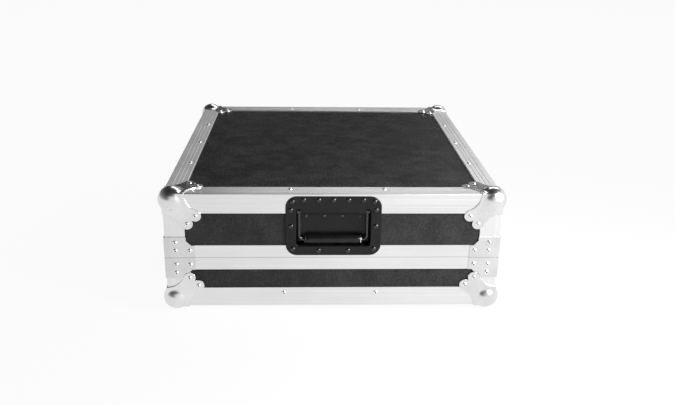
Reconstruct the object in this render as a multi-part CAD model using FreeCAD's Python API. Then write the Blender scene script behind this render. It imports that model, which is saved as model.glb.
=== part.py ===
"""Flight case for a table-top mixer: shallow base, deep lift-off lid. Millimetres, +Z up, front at -Y."""
import FreeCAD, Part
import math
import os

V = FreeCAD.Vector

# Case body
CASE_WIDTH = 500.0
CASE_DEPTH = 550.0
BASE_HEIGHT = 80.5
LID_HEIGHT = 101.0
FOOT_DROP = 11.0
PARTING_GAP = 0.4

# Panels and edge extrusions
PANEL_THICK = 9.0
PANEL_SLIP = 0.15
EDGE_WALL = 1.5
EDGE_LEG = 30.5
INNER_LEG = 22.0
WEB_THICK = 1.5
EDGE_ROUND = 1.5
JOINT_GAP = 0.2

# Rims at the parting line
RIM_FACE = 19.5
RIM_INNER = 14.0
TONGUE_THICK = 3.0
TONGUE_HEIGHT = 5.0
TONGUE_PLAY = 0.4

# Ball corners
BALL_RADIUS = 20.0
BALL_PROUD = 8.0
BALL_WALL = 1.5
PLATE_REACH = 32.0
LOBE_NEAR = 34.5
LOBE_FAR = 47.0
LOBE_RADIUS = 9.0
PLATE_CLEAR = 0.4

# Corner braces
BRACE_THICK = 1.2
BRACE_TALL = 33.0
BRACE_FOOT = 44.0
BRACE_POST_MARGIN = 1.0
BRACE_GUSSET = 7.5
BRACE_HOLE_IN = 15.5
BRACE_HOLE_LOW = 11.2
BRACE_HOLE_HIGH = 24.5
BRACE_HOLE_FOOT = 36.5

# Rivets
RIVET_HEAD_RADIUS = 3.6
RIVET_HEAD_TALL = 1.8
RIVET_SHANK_RADIUS = 1.9
RIVET_TAIL = 1.0
RIVET_PLAY = 0.1
EDGE_RIVET_X = 70.0
EDGE_RIVET_Y = 123.0
EDGE_RIVET_IN = 21.6
LID_RIVET_SHIFT = 6.0
BASE_RIVET_SHIFT = -4.0

# Handle
HANDLE_WIDE = 142.0
HANDLE_TALL = 93.6
HANDLE_ROUND = 17.0
HANDLE_SHEET = 1.2
RECESS_WIDE = 110.6
RECESS_TALL = 58.6
RECESS_ROUND = 4.5
RECESS_DROP = 2.6
RECESS_DEEP = 15.0
HOOD_DROP = 5.3
DISH_PLAY = 0.4
BAIL_ROD = 2.6
BAIL_HALF = 51.0
BAIL_BEND = 7.4
BAIL_ARM = 45.3
BAIL_EYE = 4.2
PIN_RADIUS = 2.2
PIN_DROP = 5.8
PIN_DEEP = 7.3
PIN_HEAD = 1.5
RUNNING_FIT = 0.05
GRIP_RADIUS = 6.6
STRAP_HALF = 47.0
STRAP_FOOT = 12.0
STRAP_RIVET_COUNT = 4
STRAP_RIVET_STEP = 27.0
STRAP_RIVET_HEAD = 2.2
SPRING_WALL = 0.6
SPRING_LONG = 24.0
HANDLE_RIVET_TOP = 5.6
HANDLE_RIVET_EDGE = 8.0
HANDLE_RIVET_STEP = 22.0
HANDLE_RIVET_CORNER = 2.5
HANDLE_RIVET_SHOULDER = 25.5

# Side latches
LATCH_HALF = 26.0
LATCH_FLOOR_CLEAR = 2.75
LATCH_ROUND = 6.0
LATCH_SHEET = 1.2
LATCH_FLANGE = 9.0
LATCH_BASE_TALL = 45.0
LATCH_LID_TALL = 36.0
LATCH_RIVET_NEAR = 10.0
LATCH_RIVET_FAR = 7.0
ROTOR_DROP = 27.0
ROTOR_RADIUS = 13.5
ROTOR_FRONT = 3.3
ROTOR_THICK = 3.0
ROTOR_SHAFT = 2.5
CRANK = 4.5
CRANK_PIN = 1.6
WING_THICK = 1.5
WING_GAP = 0.3
WING_PIN = 1.0
WING_KNUCKLE = 1.8
WING_KNUCKLE_LONG = 8.0
SLIDER_THICK = 2.0
SLIDER_HALF = 11.0
SLIDER_DEEP = 9.5
SLIDER_TAIL = 11.0
SLIDER_PLAY = 1.2
GUIDE_THICK = 2.0
GUIDE_PLAY = 0.4
HOOK_PIVOT = 2.5
HOOK_PIN = 1.2
HOOK_KNUCKLE = 2.2
HOOK_THICK = 1.5
HOOK_HALF = 8.0
HOOK_SWING = 13.0
STRIKE_HALF = 10.0
STRIKE_SHELF = 9.0
STRIKE_LIP = 15.0
STRIKE_THICK = 1.5
HOOK_CLEAR = 1.0
HOOK_BITE = 3.0

# Inside
FOAM_PAD = 25.0
FOAM_GAP = 0.5
FOAM_WALL = 46.0

# Feet
FOOT_RADIUS = 19.0
FOOT_TIP_RADIUS = 16.0
FOOT_MARGIN = 90.0
SCREW_HEAD = 5.0
SCREW_HEAD_TALL = 3.0
SCREW_SHANK = 2.0
SCREW_BITE = 7.0
SCREW_SUNK = 4.0

# Levels and depths that follow
HALF_W = CASE_WIDTH / 2
HALF_D = CASE_DEPTH / 2
Z_BOTTOM = FOOT_DROP
Z_PART = Z_BOTTOM + BASE_HEIGHT
Z_TOP = Z_PART + LID_HEIGHT
CHANNEL = PANEL_THICK + 2 * PANEL_SLIP
PANEL_FACE = EDGE_WALL + PANEL_SLIP
PANEL_BACK = PANEL_FACE + PANEL_THICK
EDGE_DEEP = EDGE_WALL + CHANNEL + EDGE_WALL
WEB_SIDE = WEB_THICK / math.sqrt(2)
EDGE_STOP = EDGE_WALL + CHANNEL + WEB_SIDE + PANEL_SLIP
RIM_GAP = PARTING_GAP / 2
GROOVE_DEEP = TONGUE_HEIGHT + TONGUE_PLAY
LID_WEB = GROOVE_DEEP + EDGE_WALL
BASE_WEB = RIM_GAP + EDGE_WALL
FOAM_FACE = EDGE_DEEP + FOAM_GAP
BAY_WIDE = CASE_WIDTH - 2 * FOAM_WALL
BAY_DEEP = CASE_DEPTH - 2 * FOAM_WALL
BALL_DEPTH = BALL_RADIUS - BALL_PROUD
TIP_CUT = BALL_DEPTH * 2 / 3
CRANK_TRAVEL = 2 * CRANK
STRIKE_LIP_DEEP = SLIDER_DEEP + HOOK_THICK / 2 + HOOK_CLEAR
HOOK_TIP_DEEP = STRIKE_LIP_DEEP + STRIKE_THICK + HOOK_CLEAR
LATCH_DEEP = HOOK_TIP_DEEP + HOOK_THICK + LATCH_FLOOR_CLEAR
BIG = CASE_WIDTH + CASE_DEPTH + BASE_HEIGHT + LID_HEIGHT


# Basic shapes
def box(x0, x1, y0, y1, z0, z1):
    return Part.makeBox(x1 - x0, y1 - y0, z1 - z0, V(x0, y0, z0))


def prism(points, height):
    """Straight-sided solid over a closed outline in the XY plane."""
    wire = Part.makePolygon([V(x, y, 0) for x, y in points] + [V(points[0][0], points[0][1], 0)])
    return Part.Face(wire).extrude(V(0, 0, height))


def rounded_block(wide, tall, corner, n0, n1, u=0.0, v=0.0):
    """Block with rounded upright edges, centred on (u, v), from n0 to n1 along the normal."""
    block = box(u - wide / 2, u + wide / 2, v - tall / 2, v + tall / 2, n0, n1)
    upright = [e for e in block.Edges if abs(e.BoundBox.ZLength - (n1 - n0)) < 1e-6]
    return block.makeFillet(corner, upright)


def rod(start, direction, radius, length):
    return Part.makeCylinder(radius, length, start, direction)


def placed(shape, origin, x_axis, y_axis):
    """Copy of a shape with its own X and Y axes laid along the two given directions."""
    copy = shape.copy()
    turn = FreeCAD.Rotation(x_axis, y_axis, x_axis.cross(y_axis), "XYZ")
    copy.Placement = FreeCAD.Placement(origin, turn).multiply(shape.Placement)
    return copy


def fused(shapes):
    whole = shapes[0]
    for shape in shapes[1:]:
        whole = whole.fuse(shape)
    return whole.removeSplitter()


def cut_all(shape, tools):
    """Shape less every tool that reaches its box, as single solids."""
    near = [t for t in tools if t.BoundBox.intersect(shape.BoundBox)]
    return shape.cut(near) if near else shape


# Faces of the case: outline coordinates (u, v) and the outward normal n
class Face:
    def __init__(self, origin, u_axis, v_axis):
        self.origin = origin
        self.u_axis = u_axis
        self.v_axis = v_axis
        self.normal = u_axis.cross(v_axis)

    def place(self, shape):
        return placed(shape, self.origin, self.u_axis, self.v_axis)

    def point(self, u, v, n):
        return self.origin + self.u_axis * u + self.v_axis * v + self.normal * n


X = V(1, 0, 0)
Y = V(0, 1, 0)
Z = V(0, 0, 1)
FRONT = Face(V(0, -HALF_D, Z_PART), X, Z)
RIGHT = Face(V(HALF_W, 0, Z_PART), Y, Z)
BACK = Face(V(0, HALF_D, Z_PART), -X, Z)
LEFT = Face(V(-HALF_W, 0, Z_PART), -Y, Z)
TOP = Face(V(0, 0, Z_TOP), X, Y)
BOTTOM = Face(V(0, 0, Z_BOTTOM), X, -Y)
SIDES = {"front": FRONT, "right": RIGHT, "back": BACK, "left": LEFT}
HALF_RUN = {"front": HALF_W, "back": HALF_W, "left": HALF_D, "right": HALF_D}


# Corners of the case: a corner is modelled at the origin with the case in the positive octant
def at_corner(shape, sx, sy, sz, level):
    """Copy of a corner piece at one corner: the signs say which side, level is its own zero height."""
    copy = shape
    if sx > 0:
        copy = copy.mirror(V(0, 0, 0), X)
    if sy > 0:
        copy = copy.mirror(V(0, 0, 0), Y)
    if sz > 0:
        copy = copy.mirror(V(0, 0, 0), Z)
    return copy.translated(V(sx * HALF_W, sy * HALF_D, level))


def four_corners(shape, sz, level):
    return [at_corner(shape, sx, sy, sz, level) for sx in (-1, 1) for sy in (-1, 1)]


# Rivets: every joint of sheet and extrusion asks for one, and each piece is drilled where one passes
RIVETS = {}
DRILLS = []


def rivet_solid(seat, head):
    """Domed head on a seat at height seat above the face, with a straight shank through the panel."""
    dome_radius = (head * head + RIVET_HEAD_TALL ** 2) / (2 * RIVET_HEAD_TALL)
    dome = Part.makeSphere(dome_radius, V(0, 0, RIVET_HEAD_TALL - dome_radius))
    dome = dome.common(rod(V(0, 0, 0), Z, head + RIVET_PLAY, RIVET_HEAD_TALL))
    reach = PANEL_BACK + RIVET_TAIL + seat
    shank = rod(V(0, 0, -reach), Z, RIVET_SHANK_RADIUS, reach)
    return dome.fuse(shank).removeSplitter().translated(V(0, 0, seat))


def rivet(group, face, u, v, seat=0.0):
    """Add one rivet at (u, v) of a face to a named group, and the hole that it needs."""
    solid = rivet_solid(seat, RIVET_HEAD_RADIUS).translated(V(u, v, 0))
    RIVETS.setdefault(group, []).append(face.place(solid))
    hole = RIVET_SHANK_RADIUS + RIVET_PLAY
    depth = EDGE_DEEP + RIVET_TAIL + seat
    DRILLS.append(rod(face.point(u, v, seat), -face.normal, hole, depth))


def side_corners(name):
    """Signs along u of the two upright edges of a side, with the half run to them."""
    run = HALF_RUN[name]
    return [(-1, -run), (1, run)]


def plan_rivets():
    for name, face in SIDES.items():
        for sign, edge in side_corners(name):
            for half, step, end in (("lid", 1, LID_HEIGHT), ("base", -1, -BASE_HEIGHT)):
                for along, up in ((LOBE_NEAR, LOBE_FAR), (LOBE_FAR, LOBE_NEAR)):
                    rivet(half, face, edge - sign * along, end - step * up, BALL_WALL)
                for along, up in ((BRACE_HOLE_IN, BRACE_HOLE_LOW), (BRACE_HOLE_IN, BRACE_HOLE_HIGH),
                                  (BRACE_HOLE_FOOT, BRACE_HOLE_LOW)):
                    rivet(half, face, edge - sign * along, step * up, BRACE_THICK)
    for half, face in (("lid", TOP), ("base", BOTTOM)):
        for sx in (-1, 1):
            for sy in (-1, 1):
                for along, up in ((LOBE_NEAR, LOBE_FAR), (LOBE_FAR, LOBE_NEAR)):
                    rivet(half, face, sx * (HALF_W - along), sy * (HALF_D - up), BALL_WALL)
                # The photo shows the pair at the lid's front edge off centre
                shift = LID_RIVET_SHIFT if half == "lid" and sy < 0 else 0.0
                rivet(half, face, sx * EDGE_RIVET_X + shift, sy * (HALF_D - EDGE_RIVET_IN))
            for y in (-EDGE_RIVET_Y, 0.0, EDGE_RIVET_Y):
                rivet(half, face, sx * (HALF_W - EDGE_RIVET_IN), y)
    for name, shift in (("front", BASE_RIVET_SHIFT), ("back", 0.0)):
        for sign in (-1, 1):
            rivet("base", SIDES[name], sign * EDGE_RIVET_X + shift, -BASE_HEIGHT + EDGE_RIVET_IN)


# Extrusions
def edge_profile(length):
    """Double angle: outer legs, a diagonal web and inner legs that grip the panels, centred along Z."""
    grip = EDGE_WALL + CHANNEL
    points = [(EDGE_LEG, 0), (EDGE_LEG, EDGE_WALL), (EDGE_WALL + WEB_SIDE, EDGE_WALL),
              (grip + WEB_SIDE, grip), (INNER_LEG, grip), (INNER_LEG, EDGE_DEEP), (EDGE_DEEP, EDGE_DEEP),
              (EDGE_DEEP, INNER_LEG), (grip, INNER_LEG), (grip, grip + WEB_SIDE),
              (EDGE_WALL, EDGE_WALL + WEB_SIDE), (EDGE_WALL, EDGE_LEG), (0, EDGE_LEG)]
    corners = [V(x, y, 0) for x, y in points]
    edges = [Part.LineSegment(a, b).toShape() for a, b in zip(corners, corners[1:])]
    start = V(0, EDGE_ROUND, 0)
    end = V(EDGE_ROUND, 0, 0)
    middle = V(EDGE_ROUND, EDGE_ROUND, 0) - V(1, 1, 0) * (EDGE_ROUND / math.sqrt(2))
    edges.append(Part.LineSegment(corners[-1], start).toShape())
    edges.append(Part.Arc(start, middle, end).toShape())
    edges.append(Part.LineSegment(end, corners[0]).toShape())
    solid = Part.Face(Part.Wire(edges)).extrude(V(0, 0, length))
    return solid.translated(V(0, 0, -length / 2))


def mitre_block(name):
    """Everything between the two 45 degree mitre planes of one side."""
    run = HALF_RUN[name] - JOINT_GAP / 2
    deep = EDGE_LEG + EDGE_DEEP
    outline = [(-run - EDGE_DEEP, EDGE_DEEP), (run + EDGE_DEEP, EDGE_DEEP),
               (run - deep, -deep), (-run + deep, -deep)]
    flat = prism(outline, 2 * BIG).translated(V(0, 0, -BIG))
    return placed(flat, SIDES[name].origin, SIDES[name].u_axis, SIDES[name].normal)


def corner_tip(cut):
    """Tetrahedron that takes the tip off a corner, where the three distances add up to less than cut."""
    low = -BALL_WALL - PLATE_CLEAR
    high = cut - 2 * low
    points = [V(low, low, low), V(high, low, low), V(low, high, low), V(low, low, high)]
    faces = []
    for skip in range(4):
        kept = [p for i, p in enumerate(points) if i != skip]
        faces.append(Part.Face(Part.makePolygon(kept + [kept[0]])))
    return Part.makeSolid(Part.makeShell(faces))


def long_edge(name, top):
    """One mitred edge extrusion of the lid top or the base bottom."""
    face = SIDES[name]
    level = Z_TOP if top else Z_BOTTOM
    inward = -face.normal
    down = -Z if top else Z
    origin = V(face.origin.x, face.origin.y, level)
    rail = placed(edge_profile(2 * HALF_RUN[name]), origin, inward, down)
    rail = rail.common(mitre_block(name))
    # The ball is hollow, so the tip of the extrusion stops inside it
    tips = four_corners(corner_tip(TIP_CUT), 1 if top else -1, level)
    return cut_all(rail, tips)


def corner_posts(lid):
    """Four upright extrusions between the edge legs and the rim."""
    if lid:
        low = Z_PART + RIM_FACE + JOINT_GAP
        high = Z_TOP - EDGE_LEG - JOINT_GAP
    else:
        low = Z_BOTTOM + EDGE_LEG + JOINT_GAP
        high = Z_PART - RIM_FACE - JOINT_GAP
    post = edge_profile(high - low)
    return four_corners(post, -1, (low + high) / 2)


def rim(name, lid):
    """One mitred rail of the lid rim (grooved) or the base rim (tongued)."""
    middle = EDGE_WALL + CHANNEL / 2
    tongue_out = middle - TONGUE_THICK / 2
    tongue_in = middle + TONGUE_THICK / 2
    grip = EDGE_DEEP - EDGE_WALL
    if lid:
        outline = [(0, RIM_GAP), (tongue_out - TONGUE_PLAY, RIM_GAP), (tongue_out - TONGUE_PLAY, GROOVE_DEEP),
                   (tongue_in + TONGUE_PLAY, GROOVE_DEEP), (tongue_in + TONGUE_PLAY, RIM_GAP),
                   (EDGE_DEEP, RIM_GAP), (EDGE_DEEP, RIM_INNER), (grip, RIM_INNER), (grip, LID_WEB),
                   (EDGE_WALL, LID_WEB), (EDGE_WALL, RIM_FACE), (0, RIM_FACE)]
    else:
        outline = [(0, -RIM_GAP), (tongue_out, -RIM_GAP), (tongue_out, TONGUE_HEIGHT),
                   (tongue_in, TONGUE_HEIGHT), (tongue_in, -RIM_GAP), (EDGE_DEEP, -RIM_GAP),
                   (EDGE_DEEP, -RIM_INNER), (grip, -RIM_INNER), (grip, -BASE_WEB),
                   (EDGE_WALL, -BASE_WEB), (EDGE_WALL, -RIM_FACE), (0, -RIM_FACE)]
    length = 2 * HALF_RUN[name]
    rail = prism(outline, length).translated(V(0, 0, -length / 2))
    face = SIDES[name]
    return placed(rail, face.origin, -face.normal, Z).common(mitre_block(name))


# Panels
def side_panel(name, lid):
    run = HALF_RUN[name] - EDGE_STOP
    low = LID_WEB + PANEL_SLIP if lid else -BASE_HEIGHT + EDGE_STOP
    high = LID_HEIGHT - EDGE_STOP if lid else -BASE_WEB - PANEL_SLIP
    return SIDES[name].place(box(-run, run, low, high, -PANEL_BACK, -PANEL_FACE))


def flat_panel(face):
    across = HALF_W - EDGE_STOP
    along = HALF_D - EDGE_STOP
    return face.place(box(-across, across, -along, along, -PANEL_BACK, -PANEL_FACE))


# Ball corners and braces, modelled at a corner with the case in the positive octant
def arc(centre, radius, from_deg, to_deg):
    points = []
    for angle in (from_deg, (from_deg + to_deg) / 2, to_deg):
        turn = math.radians(angle)
        points.append(centre + V(math.cos(turn), math.sin(turn), 0) * radius)
    return Part.Arc(*points).toShape()


def plate_outline(grow):
    """Face plate of a ball corner: two riveted lobes with coves that run square into the edges."""
    reach = PLATE_REACH + grow
    lobe = LOBE_RADIUS + grow
    rise = LOBE_FAR - reach
    cove = (LOBE_NEAR ** 2 + rise ** 2 - lobe ** 2) / (2 * (rise + lobe))
    slope = math.degrees(math.atan2(LOBE_FAR - reach - cove, LOBE_NEAR))
    spread = (LOBE_FAR - LOBE_NEAR) / math.sqrt(2)
    valley = math.degrees(math.acos(min(1.0, spread / lobe)))
    upper = V(LOBE_NEAR, LOBE_FAR, 0)
    lower = V(LOBE_FAR, LOBE_NEAR, 0)
    low = -BALL_WALL - grow
    edges = [arc(V(0, reach + cove, 0), cove, -90, slope), arc(upper, lobe, slope + 180, valley - 45),
             arc(lower, lobe, 135 - valley, -90 - slope), arc(V(reach + cove, 0, 0), cove, 90 - slope, 180)]
    corners = [V(reach, 0, 0), V(reach, low, 0), V(low, low, 0), V(low, reach, 0), V(0, reach, 0)]
    edges += [Part.LineSegment(a, b).toShape() for a, b in zip(corners, corners[1:])]
    return Part.Face(Part.Wire(Part.__sortEdges__(edges)))


def three_faces(shape):
    """The shape on each of the three faces that meet at the corner."""
    return [shape.rotated(V(0, 0, 0), V(1, 1, 1), turn) for turn in (0, 120, 240)]


def ball_corner():
    plate = plate_outline(0).extrude(V(0, 0, BALL_WALL)).translated(V(0, 0, -BALL_WALL))
    plates = fused(three_faces(plate)).cut(corner_tip(BALL_DEPTH - 2 * BALL_WALL))
    centre = V(BALL_DEPTH, BALL_DEPTH, BALL_DEPTH)
    shell = plates.fuse(Part.makeSphere(BALL_RADIUS, centre))
    shell = shell.cut(Part.makeSphere(BALL_RADIUS - BALL_WALL, centre))
    inside = box(0, BIG, 0, BIG, 0, BIG).cut(corner_tip(TIP_CUT - PLATE_CLEAR))
    shell = shell.cut(inside)
    # The lobes step down past the extrusion legs and sit on the panel
    foot = plate_outline(0).extrude(V(0, 0, EDGE_WALL))
    past_legs = EDGE_LEG + PLATE_CLEAR
    foot = foot.common(box(past_legs, BIG, past_legs, BIG, 0, EDGE_WALL))
    return fused([shell] + three_faces(foot))


def corner_brace():
    """Plate bent round an upright edge, with a foot along the rim and a sloping gusset between."""
    upright = EDGE_LEG + BRACE_POST_MARGIN
    low = RIM_GAP
    outline = [(-BRACE_THICK, low), (BRACE_FOOT, low), (BRACE_FOOT, RIM_FACE),
               (upright + BRACE_GUSSET, RIM_FACE), (upright, RIM_FACE + BRACE_GUSSET),
               (upright, BRACE_TALL), (-BRACE_THICK, BRACE_TALL)]
    flat = prism(outline, BRACE_THICK)
    front = placed(flat, V(0, 0, 0), X, Z)
    side = front.mirror(V(0, 0, 0), V(1, -1, 0))
    return fused([front, side])


def plate_room(level_gap):
    """Space that the ball corner's plates need on the two upright faces, for a corner level_gap below."""
    thick = BRACE_THICK + 2 * BALL_WALL
    room = plate_outline(PLATE_CLEAR).extrude(V(0, 0, thick)).translated(V(0, 0, -thick / 2))
    return [r.translated(V(0, 0, -level_gap)) for r in three_faces(room)[1:]]


def braces(lid):
    height = LID_HEIGHT if lid else BASE_HEIGHT
    one = corner_brace().mirror(V(0, 0, 0), Z)
    one = cut_all(one, plate_room(height))
    return four_corners(one, 1 if lid else -1, Z_PART)


# Handle, in the frame of the front face
HANDLE_V = LID_HEIGHT / 2
RECESS_V = HANDLE_V - RECESS_DROP
PIN_V = RECESS_V + RECESS_TALL / 2 - PIN_DROP
GRIP_V = PIN_V - BAIL_ARM
STRAP_OUT = BAIL_EYE + RUNNING_FIT


def handle_room():
    """Space that the dish and the heads of its hinge pin take out of the panel, edge and rim."""
    extra = 2 * (HANDLE_SHEET + DISH_PLAY)
    deep = RECESS_DEEP + HANDLE_SHEET + DISH_PLAY
    block = rounded_block(RECESS_WIDE + extra, RECESS_TALL + extra, RECESS_ROUND,
                          -deep, HANDLE_SHEET, 0, RECESS_V)
    head = PIN_RADIUS + PIN_HEAD + DISH_PLAY
    half = RECESS_WIDE / 2 + HANDLE_SHEET + RUNNING_FIT + PIN_HEAD + DISH_PLAY
    pocket = box(-half, half, PIN_V - head, PIN_V + head, -PIN_DEEP - head, HANDLE_SHEET)
    return FRONT.place(block.fuse(pocket))


def plan_handle_rivets():
    top = HANDLE_TALL / 2 - HANDLE_RIVET_TOP
    bottom = HANDLE_RIVET_EDGE - HANDLE_TALL / 2
    side = HANDLE_WIDE / 2 - HANDLE_RIVET_EDGE
    corner = side - HANDLE_RIVET_CORNER
    rivet("handle", FRONT, 0, HANDLE_V + top, HANDLE_SHEET)
    for sign in (-1, 1):
        spots = [(HANDLE_RIVET_STEP, top), (2 * HANDLE_RIVET_STEP, top), (corner, top - HANDLE_RIVET_CORNER),
                 (side, HANDLE_RIVET_SHOULDER), (side, 0), (corner, bottom + HANDLE_RIVET_CORNER),
                 (HANDLE_RIVET_STEP, bottom)]
        for u, v in spots:
            rivet("handle", FRONT, sign * u, HANDLE_V + v, HANDLE_SHEET)


def strap_rivet_places():
    foot_v = PIN_V - STRAP_OUT - STRAP_FOOT / 2
    middle = (STRAP_RIVET_COUNT - 1) / 2
    return [((i - middle) * STRAP_RIVET_STEP, foot_v) for i in range(STRAP_RIVET_COUNT)]


def strap_drills():
    hole = RIVET_SHANK_RADIUS + RIVET_PLAY
    depth = RECESS_DEEP + 2 * HANDLE_SHEET
    return [rod(V(u, v, -depth), Z, hole, 3 * HANDLE_SHEET) for u, v in strap_rivet_places()]


def strap_rivets():
    """Short rivets that hold the hinge strap to the floor of the dish."""
    rise = RIVET_HEAD_TALL / 2
    reach = 2 * HANDLE_SHEET
    made = []
    for u, v in strap_rivet_places():
        seat = V(u, v, -RECESS_DEEP + HANDLE_SHEET)
        head = Part.makeCone(STRAP_RIVET_HEAD, STRAP_RIVET_HEAD / 2, rise, seat, Z)
        shank = rod(seat - Z * reach, Z, RIVET_SHANK_RADIUS, reach)
        made.append(FRONT.place(head.fuse(shank).removeSplitter()))
    return made


def handle_dish():
    """Pressed dish whose flange hangs down as a hood before the hinge, between the arms of the bail."""
    flange = rounded_block(HANDLE_WIDE, HANDLE_TALL, HANDLE_ROUND, 0, HANDLE_SHEET, 0, HANDLE_V)
    extra = 2 * HANDLE_SHEET
    floor = RECESS_DEEP + HANDLE_SHEET
    pan = rounded_block(RECESS_WIDE + extra, RECESS_TALL + extra, RECESS_ROUND + HANDLE_SHEET,
                        -floor, HANDLE_SHEET, 0, RECESS_V)
    hollow = rounded_block(RECESS_WIDE, RECESS_TALL, RECESS_ROUND,
                           -RECESS_DEEP, 2 * HANDLE_SHEET, 0, RECESS_V)
    top = RECESS_V + RECESS_TALL / 2
    hood = box(-STRAP_HALF, STRAP_HALF, top - HOOD_DROP, top, 0, HANDLE_SHEET)
    dish = flange.fuse(pan).cut(hollow).fuse(hood).removeSplitter()
    bore = rod(V(-HANDLE_WIDE / 2, PIN_V, -PIN_DEEP), X, PIN_RADIUS + RUNNING_FIT, HANDLE_WIDE)
    return FRONT.place(dish.cut([bore] + strap_drills()))


def handle_pin():
    """Hinge pin across the recess, with a head outside each side wall of the dish."""
    wall = RECESS_WIDE / 2 + HANDLE_SHEET + RUNNING_FIT
    pin = rod(V(-wall, PIN_V, -PIN_DEEP), X, PIN_RADIUS, 2 * wall)
    head = PIN_RADIUS + PIN_HEAD
    ends = [rod(V(-wall - PIN_HEAD, PIN_V, -PIN_DEEP), X, head, PIN_HEAD),
            rod(V(wall, PIN_V, -PIN_DEEP), X, head, PIN_HEAD)]
    return FRONT.place(fused([pin] + ends))


def handle_strap():
    """Bent strap over the pin and its springs, with a riveted foot on the floor of the dish."""
    start = V(-STRAP_HALF, PIN_V, -PIN_DEEP)
    long = 2 * STRAP_HALF
    inner = STRAP_OUT - HANDLE_SHEET
    floor = -RECESS_DEEP
    outside = rod(start, X, STRAP_OUT, long)
    outside = outside.fuse(box(-STRAP_HALF, STRAP_HALF,
                               PIN_V - STRAP_OUT, PIN_V + STRAP_OUT, floor, -PIN_DEEP))
    inside = rod(start, X, inner, long)
    inside = inside.fuse(box(-STRAP_HALF, STRAP_HALF, PIN_V - inner, PIN_V + inner, floor, -PIN_DEEP))
    foot = box(-STRAP_HALF, STRAP_HALF,
               PIN_V - STRAP_OUT - STRAP_FOOT, PIN_V - inner, floor, floor + HANDLE_SHEET)
    return FRONT.place(outside.cut(inside).fuse(foot).removeSplitter().cut(strap_drills()))


def handle_springs():
    """Two close-wound return springs under the strap, as plain sleeves."""
    bore = PIN_RADIUS + 2 * RUNNING_FIT
    made = []
    for start in (-STRAP_HALF, STRAP_HALF - SPRING_LONG):
        base = V(start, PIN_V, -PIN_DEEP)
        sleeve = rod(base, X, bore + SPRING_WALL, SPRING_LONG).cut(rod(base, X, bore, SPRING_LONG))
        made.append(FRONT.place(sleeve))
    return made


def bail_path():
    """Line of the bail rod: down one arm, along the grip and up the other arm."""
    low = GRIP_V
    turn = BAIL_BEND
    bow = turn * (1 - 1 / math.sqrt(2))
    edges = []
    ends = []
    for sign in (-1, 1):
        top = V(sign * BAIL_HALF, PIN_V, -PIN_DEEP)
        knee = V(sign * BAIL_HALF, low + turn, -PIN_DEEP)
        middle = V(sign * (BAIL_HALF - bow), low + bow, -PIN_DEEP)
        end = V(sign * (BAIL_HALF - turn), low, -PIN_DEEP)
        edges.append(Part.LineSegment(top, knee).toShape())
        edges.append(Part.Arc(knee, middle, end).toShape())
        ends.append(end)
    edges.append(Part.LineSegment(ends[0], ends[1]).toShape())
    return Part.Wire(Part.__sortEdges__(edges))


def handle_bail():
    path = bail_path()
    start = V(-BAIL_HALF, PIN_V, -PIN_DEEP)
    section = Part.Wire([Part.makeCircle(BAIL_ROD, start, V(0, -1, 0))])
    bail = path.makePipeShell([section], True, True)
    across = V(BAIL_ROD, 0, 0)
    bores = []
    for sign in (-1, 1):
        eye = V(sign * BAIL_HALF, PIN_V, -PIN_DEEP) - across
        bail = bail.fuse(rod(eye, X, BAIL_EYE, 2 * BAIL_ROD))
        bores.append(rod(eye - across, X, PIN_RADIUS + RUNNING_FIT, 4 * BAIL_ROD))
    return FRONT.place(bail.removeSplitter().cut(bores))


def handle_grip():
    half = BAIL_HALF - BAIL_BEND
    start = V(-half, GRIP_V, -PIN_DEEP)
    sleeve = rod(start, X, GRIP_RADIUS, 2 * half)
    ends = [e for e in sleeve.Edges if e.Closed]
    sleeve = sleeve.makeFillet(BAIL_ROD / 2, ends)
    return FRONT.place(sleeve.cut(rod(start, X, BAIL_ROD + RUNNING_FIT, 2 * half)))


# Side latches, in the frame of the right face; the left latch is the same one turned half round
def latch_room(lid):
    """Space that a latch dish takes out of the panels and rims."""
    half = LATCH_HALF + LATCH_SHEET + DISH_PLAY
    deep = LATCH_DEEP + LATCH_SHEET + DISH_PLAY
    past = TONGUE_HEIGHT + TONGUE_PLAY
    if lid:
        return box(-half, half, -past, LATCH_LID_TALL + LATCH_SHEET + DISH_PLAY, -deep, LATCH_SHEET)
    return box(-half, half, -LATCH_BASE_TALL - LATCH_SHEET - DISH_PLAY, past, -deep, LATCH_SHEET)


def latch_pan(tall):
    """Pressed half dish standing above the parting line, open there, with a flange round three sides."""
    outer = LATCH_HALF + LATCH_SHEET
    flange_half = LATCH_HALF + LATCH_FLANGE
    flange_top = tall + LATCH_FLANGE
    flange = rounded_block(2 * flange_half, 2 * flange_top, LATCH_ROUND, 0, LATCH_SHEET)
    back = LATCH_DEEP + LATCH_SHEET
    pan = rounded_block(2 * outer, 2 * (tall + LATCH_SHEET), LATCH_ROUND, -back, LATCH_SHEET)
    hollow = rounded_block(2 * LATCH_HALF, 2 * tall, LATCH_ROUND - LATCH_SHEET, -LATCH_DEEP, 2 * LATCH_SHEET)
    whole = flange.fuse(pan).cut(hollow)
    return whole.common(box(-BIG, BIG, RIM_GAP, BIG, -BIG, BIG)).removeSplitter()


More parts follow.
